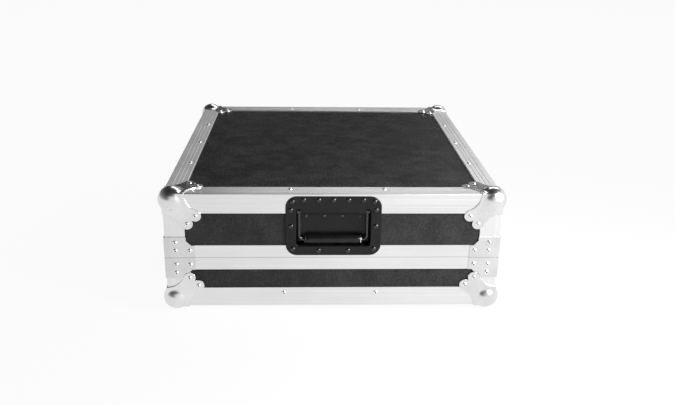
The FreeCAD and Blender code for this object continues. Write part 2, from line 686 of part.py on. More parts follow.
def latch_dish():
    """Half dish of the base, with guides for the slider and a bearing hole for the rotor."""
    pan = latch_pan(LATCH_BASE_TALL).mirror(V(0, 0, 0), Y)
    slot = SLIDER_HALF + GUIDE_PLAY
    front = -SLIDER_DEEP + SLIDER_THICK / 2 + GUIDE_PLAY
    low = -ROTOR_DROP - ROTOR_RADIUS
    high = -ROTOR_DROP + ROTOR_RADIUS
    for sign in (-1, 1):
        rail = box(slot, slot + GUIDE_THICK, low, high, -LATCH_DEEP, front + GUIDE_THICK / 2)
        lip = box(slot - GUIDE_THICK, slot + GUIDE_THICK, low, high, front, front + GUIDE_THICK / 2)
        guide = rail.fuse(lip)
        pan = pan.fuse(guide if sign > 0 else guide.mirror(V(0, 0, 0), X))
    hole = rod(V(0, -ROTOR_DROP, -BIG), Z, ROTOR_SHAFT + RUNNING_FIT, BIG)
    return pan.removeSplitter().cut(hole)


def latch_keeper():
    """Half dish of the lid, with the strike: a shelf from the floor and a lip that the hook drops behind."""
    pan = latch_pan(LATCH_LID_TALL)
    shelf = box(-STRIKE_HALF, STRIKE_HALF,
                STRIKE_SHELF, STRIKE_SHELF + STRIKE_THICK, -LATCH_DEEP, -STRIKE_LIP_DEEP)
    lip = box(-STRIKE_HALF, STRIKE_HALF,
              STRIKE_SHELF, STRIKE_LIP, -STRIKE_LIP_DEEP - STRIKE_THICK, -STRIKE_LIP_DEEP)
    return fused([pan, shelf, lip])


WING_AXIS = -ROTOR_FRONT + WING_GAP + WING_KNUCKLE
LUG_IN = WING_KNUCKLE_LONG + WING_GAP
LUG_OUT = LUG_IN + WING_KNUCKLE


def latch_rotor():
    """Disc on a shaft that is headed behind the dish, with a crank pin behind and two lugs in front."""
    centre = V(0, -ROTOR_DROP, 0)
    disc_back = ROTOR_FRONT + ROTOR_THICK
    disc = rod(centre - Z * disc_back, Z, ROTOR_RADIUS, ROTOR_THICK)
    tail = LATCH_DEEP + LATCH_SHEET + WING_GAP
    shaft = rod(centre - Z * tail, Z, ROTOR_SHAFT, tail - disc_back)
    head = rod(centre - Z * (tail + LATCH_SHEET), Z, ROTOR_SHAFT + LATCH_SHEET, LATCH_SHEET)
    crank_end = SLIDER_DEEP + SLIDER_THICK
    crank = rod(centre + V(0, CRANK, -crank_end), Z, CRANK_PIN, crank_end - disc_back)
    pieces = [disc, shaft, head, crank]
    for start in (LUG_IN, -LUG_OUT):
        lug = rod(centre + V(0, start, WING_AXIS), Y, WING_KNUCKLE, WING_KNUCKLE)
        block = box(-WING_KNUCKLE, WING_KNUCKLE, start, start + WING_KNUCKLE, -ROTOR_FRONT, WING_AXIS)
        pieces += [lug, block.translated(centre)]
    bore = rod(centre + V(0, -ROTOR_RADIUS, WING_AXIS), Y, WING_PIN + RUNNING_FIT, 2 * ROTOR_RADIUS)
    return fused(pieces).cut(bore)


def latch_wing(sign):
    """Half-round finger plate that folds out on the wing pin; sign is its side along u."""
    centre = V(0, -ROTOR_DROP, 0)
    low = WING_AXIS - WING_KNUCKLE
    clear = WING_KNUCKLE + WING_GAP
    blade = rod(centre + V(0, 0, low), Z, ROTOR_RADIUS - WING_GAP, WING_THICK)
    blade = blade.common(box(clear, BIG, -BIG, BIG, -BIG, BIG))
    start = WING_GAP / 2
    long = WING_KNUCKLE_LONG - start
    tab = box(0, clear, start, WING_KNUCKLE_LONG, low, low + WING_THICK).translated(centre)
    knuckle = rod(centre + V(0, start, WING_AXIS), Y, WING_KNUCKLE, long)
    bore = rod(centre + V(0, 0, WING_AXIS), Y, WING_PIN + RUNNING_FIT, 2 * WING_KNUCKLE_LONG)
    wing = fused([blade, tab, knuckle]).cut(bore)
    if sign < 0:
        wing = wing.rotated(centre, Z, 180)
    return wing


def latch_wing_pin():
    return rod(V(0, -ROTOR_DROP - LUG_OUT, WING_AXIS), Y, WING_PIN, 2 * LUG_OUT)


CRANK_V = -ROTOR_DROP + CRANK
SLIDER_NECK = HOOK_HALF / 2


def latch_slider():
    """Plate that the crank pin lifts and lowers, with a cross-shaped window and a knuckle at its top."""
    front = -SLIDER_DEEP + SLIDER_THICK / 2
    back = front - SLIDER_THICK
    shoulder = -HOOK_PIVOT - HOOK_KNUCKLE - GUIDE_PLAY
    plate = box(-SLIDER_HALF, SLIDER_HALF, CRANK_V - SLIDER_TAIL, shoulder, back, front)
    neck = box(-SLIDER_NECK, SLIDER_NECK, shoulder, -HOOK_PIVOT, back, front)
    knuckle = rod(V(-SLIDER_NECK, -HOOK_PIVOT, -SLIDER_DEEP), X, HOOK_KNUCKLE, 2 * SLIDER_NECK)
    shaft_half = ROTOR_SHAFT + GUIDE_PLAY
    shaft_run = CRANK + shaft_half
    pin_half = CRANK_PIN + SLIDER_PLAY
    pin_run = CRANK + CRANK_PIN + GUIDE_PLAY
    window = [box(-shaft_half, shaft_half, CRANK_V - shaft_run, CRANK_V + shaft_run, -BIG, 0),
              box(-pin_run, pin_run, CRANK_V - pin_half, CRANK_V + pin_half, -BIG, 0)]
    bore = rod(V(-BIG, -HOOK_PIVOT, -SLIDER_DEEP), X, HOOK_PIN + RUNNING_FIT, 2 * BIG)
    return fused([plate, neck, knuckle]).cut(window + [bore])


def swung_out(shape):
    return shape.rotated(V(0, -HOOK_PIVOT, -SLIDER_DEEP), X, HOOK_SWING)


def latch_hook():
    """Hook on the slider, raised and swung out clear of the strike."""
    top = STRIKE_LIP + HOOK_CLEAR + CRANK_TRAVEL
    front = -SLIDER_DEEP + HOOK_THICK / 2
    clear = -HOOK_PIVOT + HOOK_KNUCKLE + GUIDE_PLAY
    start = SLIDER_NECK + WING_GAP
    plate = box(-HOOK_HALF, HOOK_HALF, clear, top + HOOK_THICK, front - HOOK_THICK, front)
    bridge = box(-HOOK_HALF, HOOK_HALF, top, top + HOOK_THICK, -HOOK_TIP_DEEP - HOOK_THICK, front)
    tip = box(-HOOK_HALF, HOOK_HALF, top - HOOK_CLEAR - HOOK_BITE, top + HOOK_THICK,
              -HOOK_TIP_DEEP - HOOK_THICK, -HOOK_TIP_DEEP)
    pieces = [plate, bridge, tip]
    for side in (start, -HOOK_HALF):
        knuckle = rod(V(side, -HOOK_PIVOT, -SLIDER_DEEP), X, HOOK_KNUCKLE, HOOK_HALF - start)
        arm = box(side, side + HOOK_HALF - start, -HOOK_PIVOT, clear, front - HOOK_THICK, front)
        pieces += [knuckle, arm]
    bore = rod(V(-BIG, -HOOK_PIVOT, -SLIDER_DEEP), X, HOOK_PIN + RUNNING_FIT, 2 * BIG)
    return swung_out(fused(pieces).cut(bore))


def latch_hook_pin():
    return rod(V(-HOOK_HALF, -HOOK_PIVOT, -SLIDER_DEEP), X, HOOK_PIN, 2 * HOOK_HALF)


def plan_latch_rivets():
    across = LATCH_HALF + LATCH_FLANGE / 2
    for name in ("left", "right"):
        for half, step, tall in (("base", -1, LATCH_BASE_TALL), ("lid", 1, LATCH_LID_TALL)):
            for sign in (-1, 1):
                for up in (LATCH_RIVET_NEAR, tall - LATCH_RIVET_FAR):
                    rivet(half, SIDES[name], sign * across, step * up, LATCH_SHEET)


# Foam, feet and screws
def foam_side(name, low, high, notch_half, notch_deep):
    """Foam along one side between two heights over the parting line, in blocks round a notch in its back."""
    face = SIDES[name]
    across = name in ("front", "back")
    end = HALF_W - FOAM_FACE if across else BAY_DEEP / 2 - FOAM_GAP
    if notch_half == 0:
        return [face.place(box(-end, end, low, high, -FOAM_WALL, -FOAM_FACE))]
    blocks = [box(-end, -notch_half, low, high, -FOAM_WALL, -FOAM_FACE),
              box(notch_half, end, low, high, -FOAM_WALL, -FOAM_FACE),
              box(-notch_half + FOAM_GAP, notch_half - FOAM_GAP, low, high, -FOAM_WALL, -notch_deep)]
    return [face.place(block) for block in blocks]


def foam_walls(low, high, lid):
    """Blocks round the mixer bay, notched behind the latches and, in the lid, behind the handle."""
    latch_half = LATCH_HALF + LATCH_SHEET + 2 * FOAM_GAP
    latch_deep = LATCH_DEEP + 2 * LATCH_SHEET + WING_GAP + FOAM_GAP
    handle_half = RECESS_WIDE / 2 + HANDLE_SHEET + PIN_HEAD + 2 * FOAM_GAP
    handle_deep = RECESS_DEEP + 2 * HANDLE_SHEET + FOAM_GAP
    notches = {"left": (latch_half, latch_deep), "right": (latch_half, latch_deep), "back": (0, 0)}
    notches["front"] = (handle_half, handle_deep) if lid else (0, 0)
    blocks = []
    for name, (half, deep) in notches.items():
        blocks += foam_side(name, low, high, half, deep)
    return blocks


def foot_places():
    across = HALF_W - FOOT_MARGIN
    along = HALF_D - FOOT_MARGIN
    return [V(sx * across, sy * along, 0) for sx in (-1, 1) for sy in (-1, 1)]


FOOT_TALL = FOOT_DROP + PANEL_FACE


def rubber_feet():
    made = []
    for place in foot_places():
        foot = Part.makeCone(FOOT_TIP_RADIUS, FOOT_RADIUS, FOOT_TALL, place)
        well = rod(place, Z, SCREW_HEAD + PLATE_CLEAR, SCREW_SUNK + SCREW_HEAD_TALL)
        hole = rod(place, Z, SCREW_SHANK + RIVET_PLAY, FOOT_TALL)
        made.append(foot.cut([well, hole]))
    return made


def foot_screws():
    made = []
    for place in foot_places():
        head = rod(place + Z * SCREW_SUNK, Z, SCREW_HEAD, SCREW_HEAD_TALL)
        shank = rod(place + Z * SCREW_SUNK, Z, SCREW_SHANK, FOOT_TALL - SCREW_SUNK + SCREW_BITE)
        made.append(head.fuse(shank).removeSplitter())
    return made


def foot_drills():
    tall = FOOT_TALL + SCREW_BITE + RIVET_PLAY
    return [rod(place, Z, SCREW_SHANK + RIVET_PLAY, tall) for place in foot_places()]


# Assembly
def drilled(shapes, tools=()):
    """Pieces less their neighbours' room and every rivet hole that passes through them."""
    single = not isinstance(shapes, list)
    made = [cut_all(cut_all(s, list(tools)), DRILLS) for s in ([shapes] if single else shapes)]
    return made[0] if single else made


def side_latch(shape, name):
    return SIDES[name].place(shape)


def build():
    plan_rivets()
    plan_handle_rivets()
    plan_latch_rivets()
    base_room = [side_latch(latch_room(False), name) for name in ("left", "right")]
    lid_room = [side_latch(latch_room(True), name) for name in ("left", "right")]
    lid_room.append(handle_room())
    parts = {}
    for name in SIDES:
        parts["base_edge_" + name] = drilled(long_edge(name, False))
        parts["lid_edge_" + name] = drilled(long_edge(name, True), lid_room)
        parts["base_panel_" + name] = drilled(side_panel(name, False), base_room)
        parts["lid_panel_" + name] = drilled(side_panel(name, True), lid_room)
    parts["base_panel_floor"] = drilled(flat_panel(BOTTOM), foot_drills())
    parts["lid_panel_top"] = drilled(flat_panel(TOP))
    parts["base_corner_posts"] = drilled(corner_posts(False))
    parts["lid_corner_posts"] = drilled(corner_posts(True))
    parts["base_rims"] = drilled([rim(name, False) for name in SIDES], base_room)
    parts["lid_rims"] = drilled([rim(name, True) for name in SIDES], lid_room)
    corner = ball_corner()
    parts["base_ball_corners"] = drilled(four_corners(corner, -1, Z_BOTTOM))
    parts["lid_ball_corners"] = drilled(four_corners(corner, 1, Z_TOP))
    parts["base_corner_braces"] = drilled(braces(False))
    parts["lid_corner_braces"] = drilled(braces(True))
    parts["base_rivets"] = RIVETS["base"]
    parts["lid_rivets"] = RIVETS["lid"]
    parts["handle_dish"] = drilled(handle_dish())
    parts["handle_rivets"] = RIVETS["handle"]
    parts["handle_hinge_pin"] = handle_pin()
    parts["handle_hinge_strap"] = handle_strap()
    parts["handle_strap_rivets"] = strap_rivets()
    parts["handle_springs"] = handle_springs()
    parts["handle_bail"] = handle_bail()
    parts["handle_grip"] = handle_grip()
    for name in ("left", "right"):
        parts["latch_dish_" + name] = drilled(side_latch(latch_dish(), name))
        parts["latch_keeper_" + name] = drilled(side_latch(latch_keeper(), name))
        parts["latch_rotor_" + name] = side_latch(latch_rotor(), name)
        toward_back = 1 if name == "right" else -1
        parts["latch_wing_" + name + "_back"] = side_latch(latch_wing(toward_back), name)
        parts["latch_wing_" + name + "_front"] = side_latch(latch_wing(-toward_back), name)
        parts["latch_wing_pin_" + name] = side_latch(latch_wing_pin(), name)
        parts["latch_slider_" + name] = side_latch(latch_slider(), name)
        parts["latch_hook_" + name] = side_latch(latch_hook(), name)
        parts["latch_hook_pin_" + name] = side_latch(latch_hook_pin(), name)
    floor_top = Z_BOTTOM + EDGE_DEEP + FOAM_GAP
    pad_top = floor_top + FOAM_PAD
    roof = Z_TOP - EDGE_DEEP - FOAM_GAP
    pad_low = roof - FOAM_PAD
    out_x = HALF_W - FOAM_FACE - (INNER_LEG - EDGE_DEEP)
    out_y = HALF_D - FOAM_FACE - (INNER_LEG - EDGE_DEEP)
    parts["base_foam_floor"] = box(-out_x, out_x, -out_y, out_y, floor_top, pad_top)
    parts["lid_foam_pad"] = box(-out_x, out_x, -out_y, out_y, pad_low, roof)
    parts["base_foam_walls"] = foam_walls(pad_top + FOAM_GAP - Z_PART, -FOAM_GAP, False)
    parts["lid_foam_walls"] = foam_walls(FOAM_GAP, pad_low - FOAM_GAP - Z_PART, True)
    parts["rubber_feet"] = rubber_feet()
    parts["foot_screws"] = foot_screws()
    return parts


def write(parts):
    os.makedirs("parts", exist_ok=True)
    for name, shape in parts.items():
        whole = Part.makeCompound(shape) if isinstance(shape, list) else shape
        solids = whole.Solids
        good = all(s.isValid() for s in solids)
        state = "valid" if good else "INVALID"
        print(name, len(solids), "solids", state, round(sum(s.Volume for s in solids)))
        Part.makeCompound(solids).exportStep("parts/" + name + ".step")


write(build())
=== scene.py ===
"""Looks of a flight case for a table-top mixer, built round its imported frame.

Shapes are worked out in millimetres and put into meshes in metres: +Z up, front face towards -Y.
"""

from __future__ import annotations

import logging
import math
from dataclasses import dataclass, field
from enum import Enum
from typing import Iterable, Sequence

import bmesh
import bpy
import numpy as np
from mathutils import Matrix, Vector

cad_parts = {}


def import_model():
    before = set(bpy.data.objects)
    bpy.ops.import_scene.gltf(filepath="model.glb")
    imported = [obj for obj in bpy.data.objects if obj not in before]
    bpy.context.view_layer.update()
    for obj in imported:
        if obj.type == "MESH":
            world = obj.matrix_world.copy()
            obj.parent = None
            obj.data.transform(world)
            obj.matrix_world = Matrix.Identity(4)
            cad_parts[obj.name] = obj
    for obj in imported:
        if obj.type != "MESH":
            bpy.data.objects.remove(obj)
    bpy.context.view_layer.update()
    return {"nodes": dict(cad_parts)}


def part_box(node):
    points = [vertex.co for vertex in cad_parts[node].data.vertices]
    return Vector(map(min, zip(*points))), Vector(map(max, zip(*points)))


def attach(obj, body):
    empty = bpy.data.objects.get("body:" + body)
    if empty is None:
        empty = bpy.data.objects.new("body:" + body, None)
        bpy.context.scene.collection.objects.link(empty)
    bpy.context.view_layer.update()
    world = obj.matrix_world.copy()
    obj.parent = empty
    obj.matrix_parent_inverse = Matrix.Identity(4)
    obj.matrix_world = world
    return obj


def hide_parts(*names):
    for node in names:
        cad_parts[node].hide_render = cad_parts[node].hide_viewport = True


LOG = logging.getLogger("flight_case")
MM = 0.001
QUARTER = math.pi / 2
BOTH = (-1, 1)
STREAKS_ALONG = 5.0
STREAKS_ACROSS = 1100.0

Array = np.ndarray
Pair = tuple[float, float]
Triple = tuple[float, float, float]
Node = bpy.types.Node
Socket = bpy.types.NodeSocket
CadNodes = dict[str, bpy.types.Object]


class Grain(Enum):
    """Kinds of small texture that a finish carries."""

    SPECKLE = "speckle"
    CELLS = "cells"


class Run(Enum):
    """Way that the streaks of an extrusion run, as grains per metre along x, y and z."""

    X = (STREAKS_ALONG, STREAKS_ACROSS, STREAKS_ACROSS)
    Y = (STREAKS_ACROSS, STREAKS_ALONG, STREAKS_ACROSS)
    Z = (STREAKS_ACROSS, STREAKS_ACROSS, STREAKS_ALONG)
    LEVEL = (STREAKS_ALONG, STREAKS_ALONG, STREAKS_ACROSS)


class Half(Enum):
    """Halves of the case, with the body that each rides on."""

    BASE = "base"
    LID = "lid"


class Wiring:
    """Writer of one node tree."""

    def __init__(self, tree: bpy.types.NodeTree) -> None:
        """Write into that tree."""
        self.tree = tree

    def add(self, kind: str, **settings: object) -> Node:
        """Add a node.

        Args:
            kind: Blender's name of the node.
            settings: its own settings by name.
        Returns:
            The new node.
        """
        node = self.tree.nodes.new(kind)
        for name, value in settings.items():
            setattr(node, name, value)
        return node

    def give(self, socket: Socket, value: object) -> None:
        """Link an input to another node's output, or set the input's own value.

        Args:
            socket: the input.
            value: an output to link, or a plain value.
        """
        if isinstance(value, bpy.types.NodeSocket):
            self.tree.links.new(value, socket)
        else:
            socket.default_value = value

    def feed(self, node: Node, **values: object) -> Node:
        """Give values or links to inputs by their names.

        Args:
            node: node whose inputs are fed.
            values: input names, with _ for a blank, and what each gets.
        Returns:
            The same node.
        """
        for name, value in values.items():
            self.give(node.inputs[name.replace("_", " ")], value)
        return node

    def chain(self, node: Node, *values: object) -> Socket:
        """Give values or links to the first inputs in their order.

        Args:
            node: node whose inputs are fed.
            values: what each input gets.
        Returns:
            The node's first output.
        """
        for socket, value in zip(node.inputs, values):
            self.give(socket, value)
        return node.outputs[0]

    def reckon(self, operation: str, first: Socket, second: Socket | float) -> Socket:
        """Result of an operation on two numbers."""
        return self.chain(self.add("ShaderNodeMath", operation=operation), first, second)

    def ramp(self, source: Socket, stops: Sequence[tuple[float, Triple]]) -> Socket:
        """Colour that follows a number.

        Args:
            source: number from 0 to 1.
            stops: places from 0 to 1, each with its colour.
        Returns:
            The colour.
        """
        node = self.feed(self.add("ShaderNodeValToRGB"), Fac=source)
        elements = node.color_ramp.elements
        while len(elements) < len(stops):
            elements.new(0.5)
        for element, (place, colour) in zip(elements, stops):
            element.position = place
            element.color = (*colour, 1.0)
        return node.outputs["Color"]


class Shader(Wiring):
    """Writer of one material's nodes round its Principled shader.

    Attributes:
        noise_low, noise_high: the usual reach of noise.
        fine_detail, cloud_detail: octaves of the speckle and of the clouds.
    """

    noise_low: float = 0.3
    noise_high: float = 0.7
    fine_detail: float = 3.0
    cloud_detail: float = 4.0

    def __init__(self, name: str) -> None:
        """Start a material of that name.

        Args:
            name: the material's name.
        """
        self.material = bpy.data.materials.new(name)
        self.material.use_nodes = True
        super().__init__(self.material.node_tree)
        self.main = self.tree.nodes["Principled BSDF"]
        self.object = self.add("ShaderNodeTexCoord").outputs["Object"]

    def stretched(self, pitch: Sequence[float]) -> Socket:
        """Object coordinates counted in grains along each axis."""
        node = self.feed(self.add("ShaderNodeMapping"), Vector=self.object, Scale=pitch)
        return node.outputs["Vector"]

    def noise(self, where: Socket, scale: float, detail: float) -> Socket:
        """Cloudy noise from 0 to 1."""
        node = self.feed(self.add("ShaderNodeTexNoise"), Vector=where, Scale=scale, Detail=detail)
        return node.outputs["Fac"]

    def cells(self, where: Socket) -> Socket:
        """Distance to the nearest of a cloud of cells."""
        node = self.feed(self.add("ShaderNodeTexVoronoi"), Vector=where, Scale=1.0)
        return node.outputs["Distance"]

    def blend(self, first: Socket, second: Socket, share: float) -> Socket:
        """Mix of two numbers, with the second one's share."""
        node = self.feed(self.add("ShaderNodeMix"), Factor=share, A=first, B=second)
        return node.outputs["Result"]

    def span(self, source: Socket, low: float, high: float) -> Socket:
        """Number carried from the usual reach of noise to a reach of its own.

        Args:
            source: noise.
            low: what the low end of noise becomes.
            high: what the high end of noise becomes.
        Returns:
            The carried number.
        """
        node = self.feed(self.add("ShaderNodeMapRange"), Value=source, From_Min=self.noise_low,
                         From_Max=self.noise_high, To_Min=low, To_Max=high)
        return node.outputs["Result"]

    def bump(self, height: Socket, strength: float, depth: float) -> Socket:
        """Normal that is tilted by a height, as deep as the depth in metres."""
        node = self.feed(self.add("ShaderNodeBump"), Height=height, Strength=strength, Distance=depth)
        return node.outputs["Normal"]


def even(value: float) -> Triple:
    """One number for all three: a neutral colour, or a pitch that is the same each way."""
    return (value, value, value)


@dataclass(frozen=True)
class Finish:
    """One surface finish: two close colours, mottled by cloud and by grain.

    Attributes:
        name: name of its material.
        slot: the record's material slot; not used.
        dark, light: the two colours.
        rough: reach of the roughness.
        metallic, specular: how far it is a metal, and how strongly it mirrors where it is none.
        grain, pitch: kind of small texture, and its grains per metre along each axis.
        cloud: clouds per metre.
        cloud_share: share of the clouds in the mottling.
        bump, depth: strength of the grain's relief, and its depth in metres.
        spread: how far from a half the mottling reaches the two colours.
    """

    name: str
    slot: str
    dark: Triple
    light: Triple
    rough: Pair
    metallic: float = 0.0
    grain: Grain = Grain.SPECKLE
    pitch: Triple = even(900.0)
    cloud: float = 14.0
    cloud_share: float = 0.5
    bump: float = 0.1
    depth: float = 0.0002
    specular: float = 0.5
    spread: float = 0.2

    def build(self) -> bpy.types.Material:
        """Make the finish's material.

        Returns:
            Material whose colour, roughness and bump come from its nodes.
        """
        shader = Shader(self.name)
        where = shader.stretched(self.pitch)
        if self.grain is Grain.CELLS:
            fine = shader.cells(where)
        else:
            fine = shader.noise(where, 1.0, shader.fine_detail)
        cloud = shader.noise(shader.object, self.cloud, shader.cloud_detail)
        mottle = shader.blend(fine, cloud, self.cloud_share)
        stops = ((0.5 - self.spread, self.dark), (0.5 + self.spread, self.light))
        shader.feed(
            shader.main,
            Base_Color=shader.ramp(mottle, stops),
            Roughness=shader.span(mottle, *self.rough),
            Normal=shader.bump(fine, self.bump, self.depth),
            Metallic=self.metallic,
            Specular_IOR_Level=self.specular,
        )
        return shader.material


def aluminium(run: Run) -> Finish:
    """Satin aluminium with drawn streaks, a little more matt where they run from front to back.

    Args:
        run: way that the streaks run.
    Returns:
        The finish.
    """
    rough = (0.43, 0.53) if run is Run.Y else (0.34, 0.44)
    return Finish(f"satin_aluminium_{run.name.lower()}", "satin_aluminium", (0.71, 0.71, 0.715),
                  (0.84, 0.84, 0.845), rough, 1.0, pitch=run.value, cloud=9.0, cloud_share=0.45,
                  bump=0.06, depth=0.0001)


LAMINATE = Finish("black_laminate", "black_laminate", even(0.0155), even(0.0360), (0.08, 0.40),
                  pitch=even(620.0), cloud=34.0, cloud_share=0.34, bump=0.06, depth=0.0003,
                  specular=0.12, spread=0.11)
PLATED = Finish("plated_steel", "plated_steel", (0.66, 0.66, 0.665), even(0.82), (0.18, 0.26), 1.0,
                pitch=even(300.0), cloud=26.0, cloud_share=0.7, bump=0.05, depth=0.0003)
BRACE = Finish("brace_steel", "plated_steel", even(0.61), even(0.76), (0.34, 0.44), 1.0,
               pitch=even(700.0), cloud=30.0, bump=0.05)
RIVET = Finish("rivet_steel", "rivet_steel", even(0.86), even(0.96), (0.24, 0.32), 1.0,
               cloud=60.0, bump=0.03)
# Near black end of a rivet's drawn pin: painted shade that stands for the dark hole in the head.
PIN_END_PAINTED_SHADE = Finish("pin_end_painted_hole_shade", "rivet_steel", even(0.01), even(0.03), (0.5, 0.7), bump=0.2)
POWDER = Finish("powder_coat", "black_coat", even(0.003), even(0.008), (0.24, 0.34),
                pitch=even(1400.0), cloud=40.0, specular=0.27)
ENAMEL = Finish("black_enamel", "black_coat", even(0.004), even(0.010), (0.13, 0.19),
                cloud=50.0, bump=0.03, specular=0.8)
BLACK_RIVET = Finish("black_rivet", "black_coat", even(0.004), even(0.008), (0.22, 0.28),
                     cloud=50.0, bump=0.03, specular=0.7)
# Dark grey rivets, a little lighter than the black coat round them.
LIGHT_GREY_RIVET = Finish("light_grey_rivet", "black_coat", even(0.03), even(0.06), (0.25, 0.35),
                    cloud=60.0, specular=0.6)
GRIP = Finish("moulded_grip", "black_rubber", even(0.004), even(0.010), (0.24, 0.32),
              cloud=50.0, bump=0.08, specular=0.34)
ZINC = Finish("zinc_steel", "zinc_steel", (0.50, 0.505, 0.51), (0.68, 0.685, 0.68), (0.26, 0.38), 1.0,
              pitch=even(500.0), cloud=45.0, bump=0.06)
RUBBER = Finish("black_rubber", "black_rubber", even(0.012), even(0.028), (0.62, 0.78),
                pitch=even(1100.0), cloud=40.0, bump=0.25)
FOAM = Finish("grey_foam", "grey_foam", even(0.03), even(0.085), (0.9, 1.0), grain=Grain.CELLS,
              pitch=even(520.0), cloud=18.0, cloud_share=0.35, bump=0.8, depth=0.0008, specular=0.2)


class Wardrobe:
    """Makes each finish's material once and hands it out."""

    def __init__(self) -> None:
        """Start with nothing made."""
        self.made: dict[Finish, bpy.types.Material] = {}

    def dress(self, piece: bpy.types.Object, finish: Finish) -> None:
        """Give one finish to an object in place of what it has.

        Args:
            piece: new piece or CAD node.
            finish: its finish, whose material is made when it is first asked for.
        """
        if finish not in self.made:
            self.made[finish] = finish.build()
        piece.data.materials.clear()
        piece.data.materials.append(self.made[finish])

    def dress_all(self, nodes: CadNodes, names: Iterable[str], finish: Finish) -> None:
        """Give one finish to several CAD nodes."""
        for name in names:
            self.dress(nodes[name], finish)


WARDROBE = Wardrobe()


@dataclass
class Patch:
    """Points in millimetres, with the quads and triangles that join them."""

    points: Array
    quads: Array
    tris: Array

    @staticmethod
    def joined(patches: Iterable[Patch]) -> Patch:
        """One patch that holds several.

        Args:
            patches: the patches.
        Returns:
            All their points and faces, numbered through.
        """
        points, quads, tris, start = [], [], [], 0
        for patch in patches:
            points.append(patch.points)
            quads.append(patch.quads + start)
            tris.append(patch.tris + start)
            start += len(patch.points)
        return Patch(np.concatenate(points), np.concatenate(quads), np.concatenate(tris))


def lofted(rows: Array, first: Array, last: Array) -> Patch:
    """Closed skin over rings of points: ring i joins ring i + 1, and a fan closes either end.

    Args:
        rows: ring by ring points, of shape (rings, around, 3).
        first: pole inside the first ring.
        last: pole inside the last ring.
    Returns:
        The skin as one patch.
    """
    rings, around = rows.shape[:2]
    here = np.arange(rings * around).reshape(rings, around)
    beside = np.roll(here, -1, axis=1)
    quads = np.stack([here[:-1], beside[:-1], beside[1:], here[1:]], axis=-1).reshape(-1, 4)
    low = np.stack([beside[0], here[0], np.full(around, rings * around)], axis=-1)
    high = np.stack([here[-1], beside[-1], np.full(around, rings * around + 1)], axis=-1)
    points = np.concatenate([rows.reshape(-1, 3), [first], [last]])
    return Patch(points, quads, np.concatenate([low, high]))


def turned(profile: Array, around: int) -> Patch:
    """Surface of revolution about the third axis: (r cos a, r sin a, h) for each (r, h) of a profile.

    Args:
        profile: (r, h) rows, of which the first and last lie on the axis.
        around: count of points round the axis.
    Returns:
        A closed skin.
    """
    angle = np.linspace(0.0, 4 * QUARTER, around, endpoint=False)
    radius, height = profile[1:-1, 0, None], profile[1:-1, 1, None]
    rows = np.stack([radius * np.cos(angle), radius * np.sin(angle), height + 0 * angle], axis=-1)
    return lofted(rows, np.array([0, 0, profile[0, 1]]), np.array([0, 0, profile[-1, 1]]))


def copied(patch: Patch, spots: Array, axes: Array) -> Patch:
    """The patch at every spot: p = spot + x a0 + y a1 + z a2.

    Args:
        patch: shape to copy.
        spots: places, of shape (count, 3).
        axes: the three directions at each place, of shape (count, 3, 3).
    Returns:
        All the copies as one patch.
    """
    points = spots[:, None, :] + np.einsum("pi,cij->cpj", patch.points, axes)
    shift = (np.arange(len(spots)) * len(patch.points))[:, None, None]
    quads, tris = patch.quads + shift, patch.tris + shift
    return Patch(points.reshape(-1, 3), quads.reshape(-1, 4), tris.reshape(-1, 3))


def rounded_ring(half_u: float, half_v: float, corner: float, steps: int = 9,
                 top: Sequence[float] = ()) -> Array:
    """Rounded rectangle: a quarter circle of the corner radius about each inset corner.

    Args:
        half_u: half the width.
        half_v: half the height.
        corner: radius of the corners.
        steps: points on each corner.
        top: more points along the top side, as shares of its straight run from 1 down to -1.
    Returns:
        (u, v) rows in order round the rectangle.
    """
    angle = np.linspace(0.0, QUARTER, steps)
    turns = np.concatenate([angle + k * QUARTER for k in range(4)])
    sign_u = np.repeat([1.0, -1.0, -1.0, 1.0], steps)
    sign_v = np.repeat([1.0, 1.0, -1.0, -1.0], steps)
    ring = np.stack([sign_u * (half_u - corner) + corner * np.cos(turns),
                     sign_v * (half_v - corner) + corner * np.sin(turns)], axis=-1)
    run = np.array(top)[:, None] * (half_u - corner)
    return np.concatenate([ring[:steps], np.hstack([run, np.full_like(run, half_v)]), ring[steps:]])


def smooth_step(value: Array) -> Array:
    """Share 3 t^2 - 2 t^3 of t held between 0 and 1."""
    share = np.clip(value, 0.0, 1.0)
    return share * share * (3.0 - 2.0 * share)


def add_piece(name: str, patch: Patch, finish: Finish, body: str, replaced: Sequence[str] = (),
              sharp: float = 38.0) -> bpy.types.Object:
    """Put a patch into a mesh, dress it and let it ride.

    Args:
        name: name of the new object.
        patch: its skin, in millimetres.
        finish: its finish.
        body: body of the frame that it moves with.
        replaced: CAD nodes that it stands for.
        sharp: angle in degrees past which an edge is left sharp.
    Returns:
        The new object.
    """
    mesh = bpy.data.meshes.new(name)
    mesh.from_pydata((patch.points * MM).tolist(), [], patch.quads.tolist() + patch.tris.tolist())
    skin = bmesh.new()
    skin.from_mesh(mesh)
    bmesh.ops.recalc_face_normals(skin, faces=skin.faces)
    skin.to_mesh(mesh)
    skin.free()
    mesh.shade_smooth()
    mesh.set_sharp_from_angle(angle=math.radians(sharp))
    piece = bpy.data.objects.new(name, mesh)
    bpy.context.scene.collection.objects.link(piece)
    WARDROBE.dress(piece, finish)
    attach(piece, body)
    if replaced:
        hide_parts(*replaced)
    return piece


@dataclass(frozen=True)
class Face:
    """One face of the case: a point on it, and the directions along it and up it."""

    origin: Triple
    along: Triple
    up: Triple

    def axes(self) -> Array:
        """Directions along, up and out of the face, as rows."""
        return np.array([self.along, self.up, np.cross(self.along, self.up)])

    def place(self, local: Array) -> Array:
        """Points (u, v, n) of the face in the frame of the case."""
        return np.array(self.origin) + local @ self.axes()


